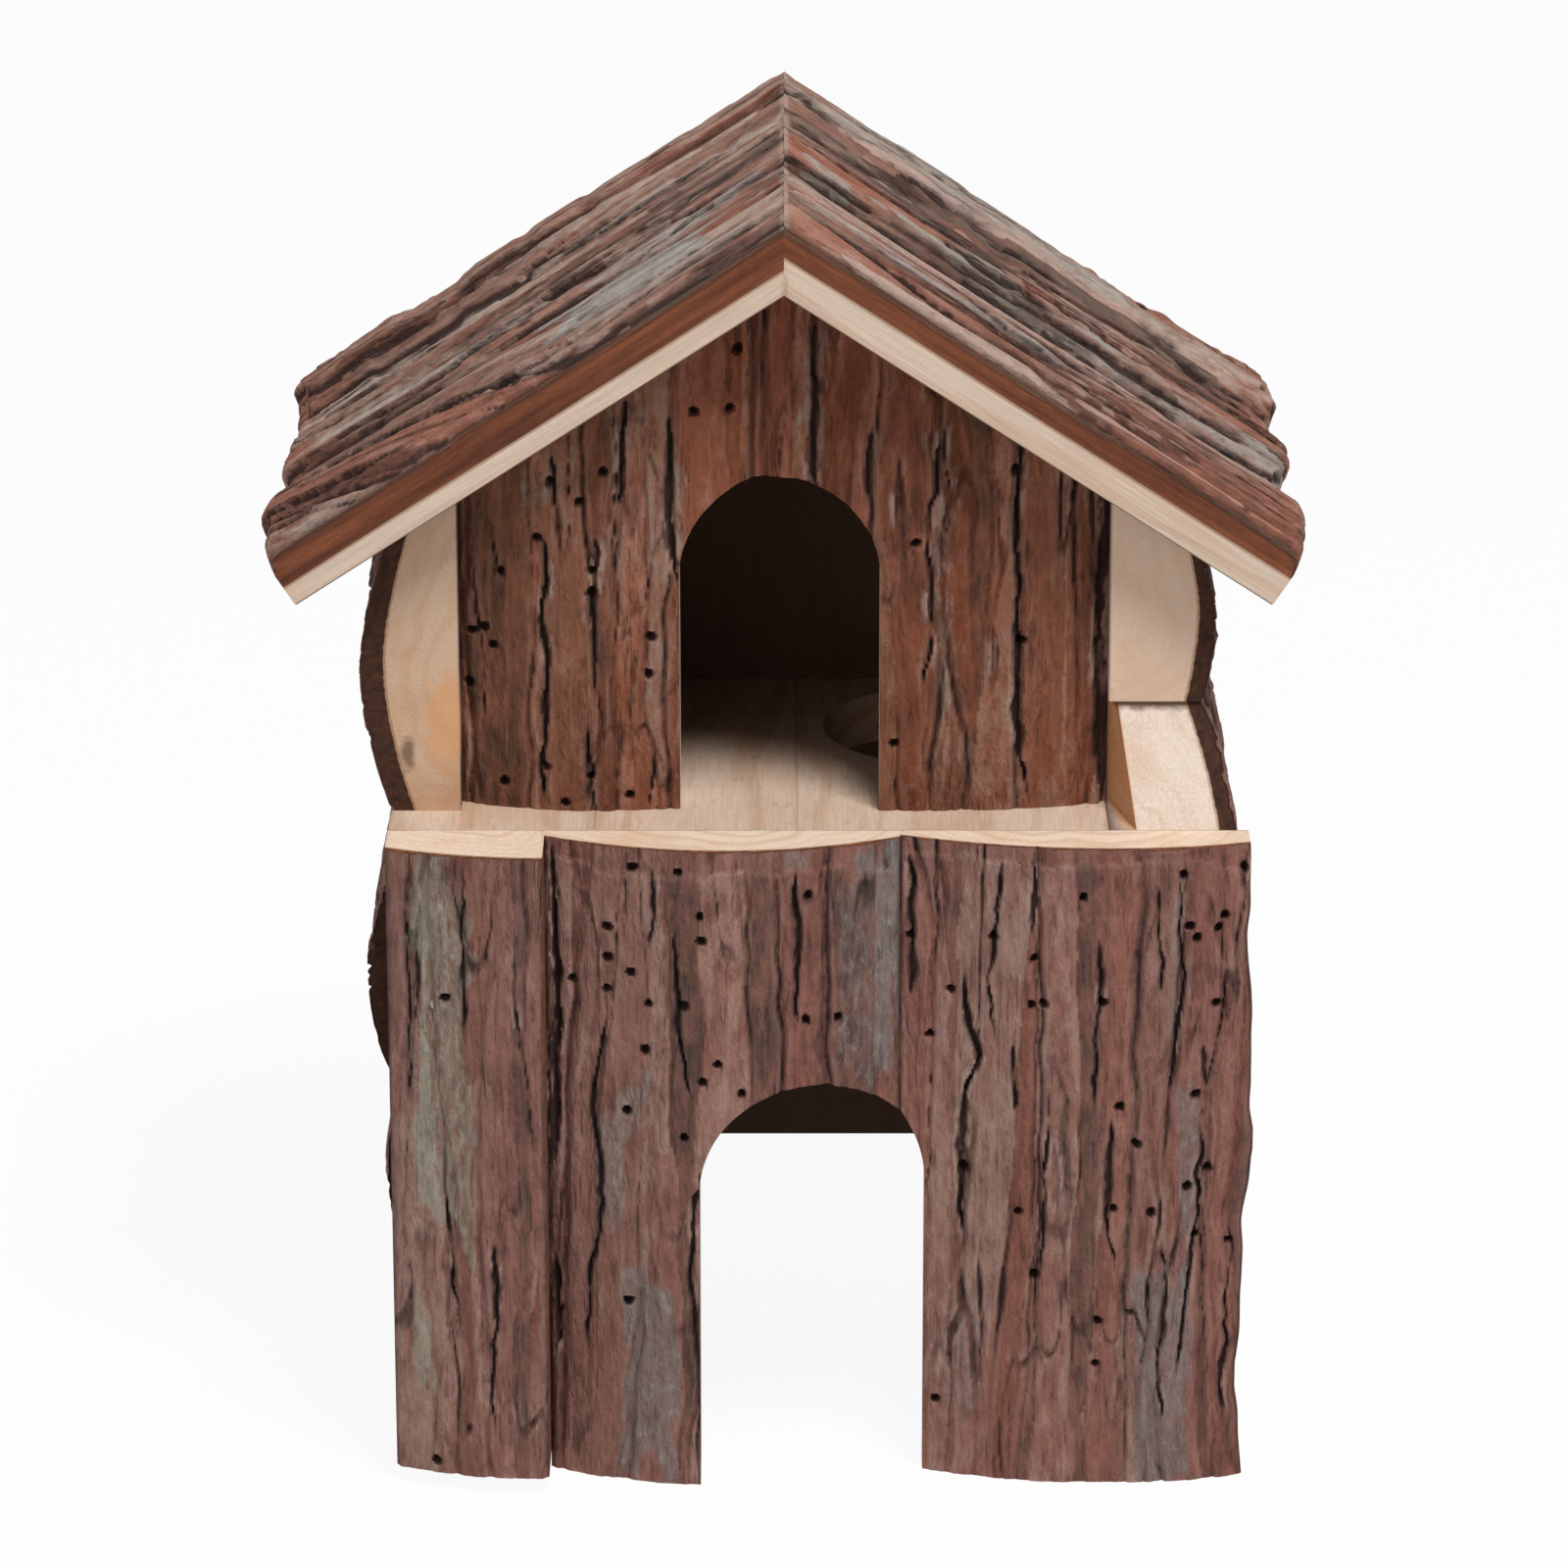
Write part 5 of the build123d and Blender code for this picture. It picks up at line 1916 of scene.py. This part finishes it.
ROOF_GROWTH = {
    "left_front": Growth(
        splits=(
            Split(((4, 4), (4.5, 18), (3.5, 34)), 1.6, 2),
            Split(((4.5, 38), (7, 58), (11.5, 72), (17, 87), (22, 103), (29, 130)), 3.4, 3),
            Split(((17, 16), (18, 44), (22, 66), (28, 90), (32, 112)), 1.8, 2.2),
            Split(((3.5, 70), (6, 88), (10, 104), (15, 130)), 2, 2.2),
            Split(((2.5, 94), (4.5, 108), (7, 130)), 1.6, 1.8),
            Split(((29, 2), (27, 30), (31, 58)), 2.2, 2.4),
        ),
        lichens=(Lichen((9, 8), (17, 42), 0.9, 2), Lichen((19, 20), (26, 58), 0.9, 1)),
    ),
    "left_middle": Growth(
        splits=(
            Split(((9, 0), (11, 40), (8, 80), (10, 116)), 2.6, 2.6),
            Split(((23, 16), (21, 50), (24, 110)), 2.6, 2.4),
        ),
        lichens=(Lichen((2, 6), (8, 34), 0.9, 1.1), Lichen((14, 66), (20, 110), 0.1, 0.8)),
    ),
    "left_rear": Growth(splits=(Split(((6, 6), (8, 60), (6, 112)), 2.6, 2.6),)),
    "right_front": Growth(
        splits=(
            Split(((9, 2), (8, 34), (6, 58), (6.5, 92)), 1, 2),
            Split(((15, 0), (14, 30), (10, 56)), 1.1, 2),
            Split(((27, 20), (29, 70), (28, 116)), 2.2, 2.4),
        ),
        lichens=(Lichen((9, 0), (15, 52), 0.9, 1.1),),
    ),
    "right_middle": Growth(
        splits=(
            Split(((5, 30), (4, 74), (6, 116)), 1.6, 2),
            Split(((9.5, 46), (8.5, 80), (10, 116)), 1.4, 1.8),
            Split(((16, 0), (15, 36), (17, 76), (15, 116)), 3, 2.8),
            Split(((25, 26), (27, 70), (25, 112)), 2.4, 2.4),
        ),
        lichens=(Lichen((2, 0), (13, 116), 0.5, 1.3),),
    ),
    "right_rear": Growth(
        splits=(Split(((5, 40), (7, 80), (5, 110)), 2.8, 2.6),),
        lichens=(Lichen((14, 14), (26, 76), 0.7, 0.9),),
    ),
}


ROOF_LOGS = {
    "front": Section(11.7, 15, 8.5),
    "middle": Section(8.5, 15, 8.5),
    "rear": Section(8.5, 15, 11.7),
}


@dataclass
class Roof(Assembly):
    """Half-logs from ridge to eave, three to a pitch, mitred upright at the ridge."""

    body: Body = Body.ROOF
    sections: dict[str, Section] = field(default_factory=lambda: ROOF_LOGS)
    rinds: dict[Side, float] = field(default_factory=lambda: {Side.LEFT: 7.4, Side.RIGHT: 5.4})
    skews: dict[str, float] = field(default_factory=lambda: {"left_front": 0.26})
    step: Point = (0.42, 0.55)
    eave_round: float = 4.0
    last_seed: int = 60

    def build(self) -> None:
        """Makes the six logs."""
        sine, cosine = math.sin(ROOF_PITCH), math.cos(ROOF_PITCH)
        seed = self.last_seed
        for side in Side:
            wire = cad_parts[f"roof_nails_{side.value}"].data.vertices
            shared = {
                "along": Vector((side.way * cosine, 0, -sine)),
                "outward": Vector((side.way * sine, 0, cosine)),
                "rind": self.rinds[side],
                "step": self.step,
                "nails": np.array([point.co for point in wire]) / MM,
                "end_lean": math.tan(ROOF_PITCH),
                "eave_round": self.eave_round,
            }
            for name, section in self.sections.items():
                seed += 1
                place = f"{side.value}_{name}"
                node = f"roof_slab_{place}"
                low, high = node_box(node)
                ridge = high.z - section.crown / cosine
                log = HalfLog(
                    node,
                    section,
                    width=high.y - low.y,
                    length=(ridge - low.z) / sine,
                    corner=Vector((0, low.y, ridge)),
                    across=Y_AXIS,
                    form=REAR_FORM if name == "rear" else ROOF_FORM,
                    seed=seed,
                    growth=ROOF_GROWTH[place],
                    skew=self.skews.get(place, 0.0),
                    **shared,
                )
                self.settle(log.build(), node, Slot.BARK)


@dataclass
class Floor(Assembly):
    """Three sawn boards from front to back, with the round climbing hole in the right one."""

    hole_radius: float = 23.0
    hole_side_margin: float = 7.8
    hole_rear_margin: float = 5.7
    ripple: float = 0.06
    sink: float = 0.05
    eased_edge: float = 0.3
    step: Point = (0.9, 0.9)
    first_seed: int = 71

    def build(self) -> None:
        """Makes the boards."""
        for seed, name in enumerate(("left", "middle", "right"), self.first_seed):
            node = f"floor_board_{name}"
            low, high = node_box(node)
            section = Section(*[high.z - low.z] * 3)
            traits = {"form": PANEL_FORM, "seed": seed, "rind": 0.0, "step": self.step}
            board = HalfLog.at_node(node, section, (X_AXIS, Y_AXIS, Z_AXIS), **traits)
            board.back = lambda a, b: np.zeros_like(a)
            if name == "right":
                across = board.width - self.hole_side_margin - self.hole_radius
                along = board.length - self.hole_rear_margin - self.hole_radius
                board.cuts = (RoundHole((across, along), self.hole_radius),)
            self.settle(self.plane_board(board), node, Slot.WOOD)

    def plane_board(self, board: HalfLog) -> bpy.types.Object:
        """Makes one board, its face rippled by the saw and its long edges eased.

        Args:
            board: The board's place and cuts.

        Returns:
            The board.
        """
        columns, rows = board.lines()
        columns[1], columns[-2] = self.eased_edge, board.width - self.eased_edge
        grid = TrimmedGrid(columns, rows, board.cuts)
        ripple = self.ripple * SAW_RIPPLE.over(Pattern(board.seed), grid.a, grid.b) - self.sink
        edge = np.minimum(grid.a, board.width - grid.a) < TOUCH
        top = board.section.near + ripple - self.eased_edge * edge
        mesh = SlabMesh(board, grid, top)
        mesh.add_face(top, Bark.bare(grid.a))
        return mesh.finished()


@dataclass
class Fittings:
    """The pieces that keep their CAD shape: roof battens and nails."""

    pieces: list[bpy.types.Object] = field(default_factory=list)

    def dress(self, wood: bpy.types.Material, steel: bpy.types.Material) -> None:
        """Gives battens and nails their materials.

        Args:
            wood: Material of the battens.
            steel: Material of the nails.
        """
        for node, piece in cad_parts.items():
            if "batten" in node or "nails" in node:
                for slot in piece.material_slots:
                    slot.material = wood if "batten" in node else steel
                self.pieces.append(piece)


@dataclass(frozen=True)
class Lamp:
    """A square lamp: its name, its place and side in metres, and its power in watts."""

    name: str
    place: tuple[float, float, float]
    side: float
    watts: float


@dataclass
class Studio:
    """A pale floor, soft light and the camera, at the height and distance of the photograph."""

    lens: float = 157.5
    sensor: float = 36.0
    sight: float = 100.0
    eye: Vector = field(default_factory=lambda: Vector((0.0, -1.26895, 0.5718)))
    aim: Vector = field(default_factory=lambda: Vector((0.0, -0.05825, 0.1431)))
    lit: Vector = field(default_factory=lambda: Vector((0.0, 0.0, 0.12)))
    lamps: tuple[Lamp, ...] = (
        Lamp("key", (0.4, -0.8, 1.95), 0.6, 38.0),
        Lamp("fill", (-0.6, -1.9, 0.9), 1.2, 2.5),
    )
    floor_side: float = 12.0
    floor_paint: str = "#f2f1ef"
    floor_glow: float = 0.93
    sky: float = 0.2

    def look_at(self, thing: bpy.types.Object, place: Vector, aim: Vector) -> None:
        """Puts a camera or lamp at a place, turned to its aim.

        Args:
            thing: The camera or lamp.
            place: Where it stands.
            aim: What it looks at.
        """
        thing.location = place
        thing.rotation_euler = (aim - place).to_track_quat("-Z", "Y").to_euler()
        bpy.context.scene.collection.objects.link(thing)

    def build(self) -> None:
        """Sets up camera, floor, sky and lamps."""
        data = bpy.data.cameras.new("camera")
        data.lens, data.sensor_width, data.clip_end = self.lens, self.sensor, self.sight
        camera = bpy.data.objects.new("camera", data)
        self.look_at(camera, self.eye, self.aim)
        bpy.context.scene.camera = camera
        bpy.context.scene.view_settings.view_transform = "Standard"
        self.lay_floor()
        self.light_sky()
        for lamp in self.lamps:
            data = bpy.data.lights.new(lamp.name, "AREA")
            data.size, data.energy = lamp.side, lamp.watts
            self.look_at(bpy.data.objects.new(lamp.name, data), Vector(lamp.place), self.lit)

    def seen_directly(self, tree: Tree) -> Socket:
        """Tells the camera's rays from those that light the scene.

        Args:
            tree: The nodes of a material or of the sky.

        Returns:
            1 for rays from the camera and those that mirror or pass through to it.
        """
        total = add(tree, "LightPath", {}, "Is Camera Ray")
        for name in ("Is Glossy Ray", "Is Transmission Ray"):
            other = add(tree, "LightPath", {}, name)
            total = add(tree, "Math", {0: total, 1: other}, operation="MAXIMUM")
        return total

    def lay_floor(self) -> None:
        """A white matt sweep that keeps the shadow and is mostly white where it is seen."""
        half = self.floor_side / 2
        mesh = bpy.data.meshes.new("studio_floor")
        corners = [(-half, -half, 0), (half, -half, 0), (half, half, 0), (-half, half, 0)]
        mesh.from_pydata(corners, [], [(0, 1, 2, 3)])
        floor = bpy.data.objects.new("studio_floor", mesh)
        bpy.context.scene.collection.objects.link(floor)
        material = bpy.data.materials.new("painted_sweep")
        material.use_nodes = True
        tree = material.node_tree
        tree.nodes.clear()
        paint = add(tree, "BsdfDiffuse", {"Color": linear(self.floor_paint)})
        glow = add(tree, "Emission", {"Color": linear("#ffffff"), "Strength": 1.0})
        share = add(tree, "Math", {0: self.seen_directly(tree), 1: self.floor_glow}, operation="MULTIPLY")
        mixed = add(tree, "MixShader", {0: share, 1: paint, 2: glow})
        add(tree, "OutputMaterial", {"Surface": mixed})
        mesh.materials.append(material)

    def light_sky(self) -> None:
        """An even white sky, full white only where it is seen."""
        world = bpy.data.worlds.new("studio_sky")
        world.use_nodes = True
        tree = world.node_tree
        tree.nodes.clear()
        white = linear("#ffffff")
        soft = add(tree, "Background", {"Color": white, "Strength": self.sky})
        full = add(tree, "Background", {"Color": white, "Strength": 1.0})
        mixed = add(tree, "MixShader", {0: self.seen_directly(tree), 1: soft, 2: full})
        add(tree, "OutputWorld", {"Surface": mixed})
        bpy.context.scene.world = world


def main() -> None:
    """Builds the cabin's looks round the frame and reports each piece."""
    logging.basicConfig(level=logging.INFO, format="%(message)s")
    panel_bark = BarkedLog("conifer_panel_log", PANEL_TONES, PANEL_CASTS).material()
    wall_log = BarkedLog(
        "conifer_wall_log",
        PANEL_TONES,
        PANEL_CASTS,
        cut_dark="#2c1a13",
        cut_light="#4e2f1f",
        end_grain="#dec4ae",
        wood=Softwood("#eee5dc", "#e6d4c2"),
        knots_and_painted_light=WALL_KNOTS_AND_PAINTED_LIGHT,
    )
    wall_bark = wall_log.material()
    gable_bark = BarkedLog("conifer_gable_log", GABLE_TONES, GABLE_CASTS).material()
    roof_log = BarkedLog(
        "conifer_roof_log",
        ROOF_TONES,
        ROOF_CASTS,
        grey_lichen="#a8a49e",
        cut_dark="#552e1f",
        cut_light="#844c31",
        mottle=(3.0, 6.5),
        mottle_share=1.0,
        tone_share=1.0,
        hair=(2.4, 28.0),
        hair_dark=0.4,
        fibre=(1.0, 2.4),
        cut_blend=1.5,
        wood=Softwood("#d7c1ae", "#c5a68e", "#c9a78e"),
    )
    roof_bark = roof_log.material()
    board_wood = Softwood("#cfb8a4", "#b9977d", "#c49c7d", dirt=0.3, rear_shade="#cdbab0")
    board = board_wood.material("sawn_floor_board", "grain")
    batten = Softwood().material("sawn_batten", None)
    right_wall = SideWall(side=Side.RIGHT, sections=RIGHT_COURSES, rind=3.2, first_seed=51, cheek="middle")
    dressed = (
        (FrontPanel(), panel_bark),
        (SideWall(), wall_bark),
        (right_wall, wall_bark),
        (Gable(), gable_bark),
        (BackWall(), panel_bark),
        (Floor(), board),
        (Roof(), roof_bark),
    )
    for assembly, material in dressed:
        assembly.build()
        assembly.dress(material)
        for piece in assembly.pieces:
            LOG.info("%s: %d faces, %s", piece.name, len(piece.data.polygons), material.name)
    fittings = Fittings()
    fittings.dress(batten, WireNail().material())
    for piece in fittings.pieces:
        LOG.info("%s keeps its CAD shape", piece.name)
    Studio().build()


if __name__ == "__main__":
    main()
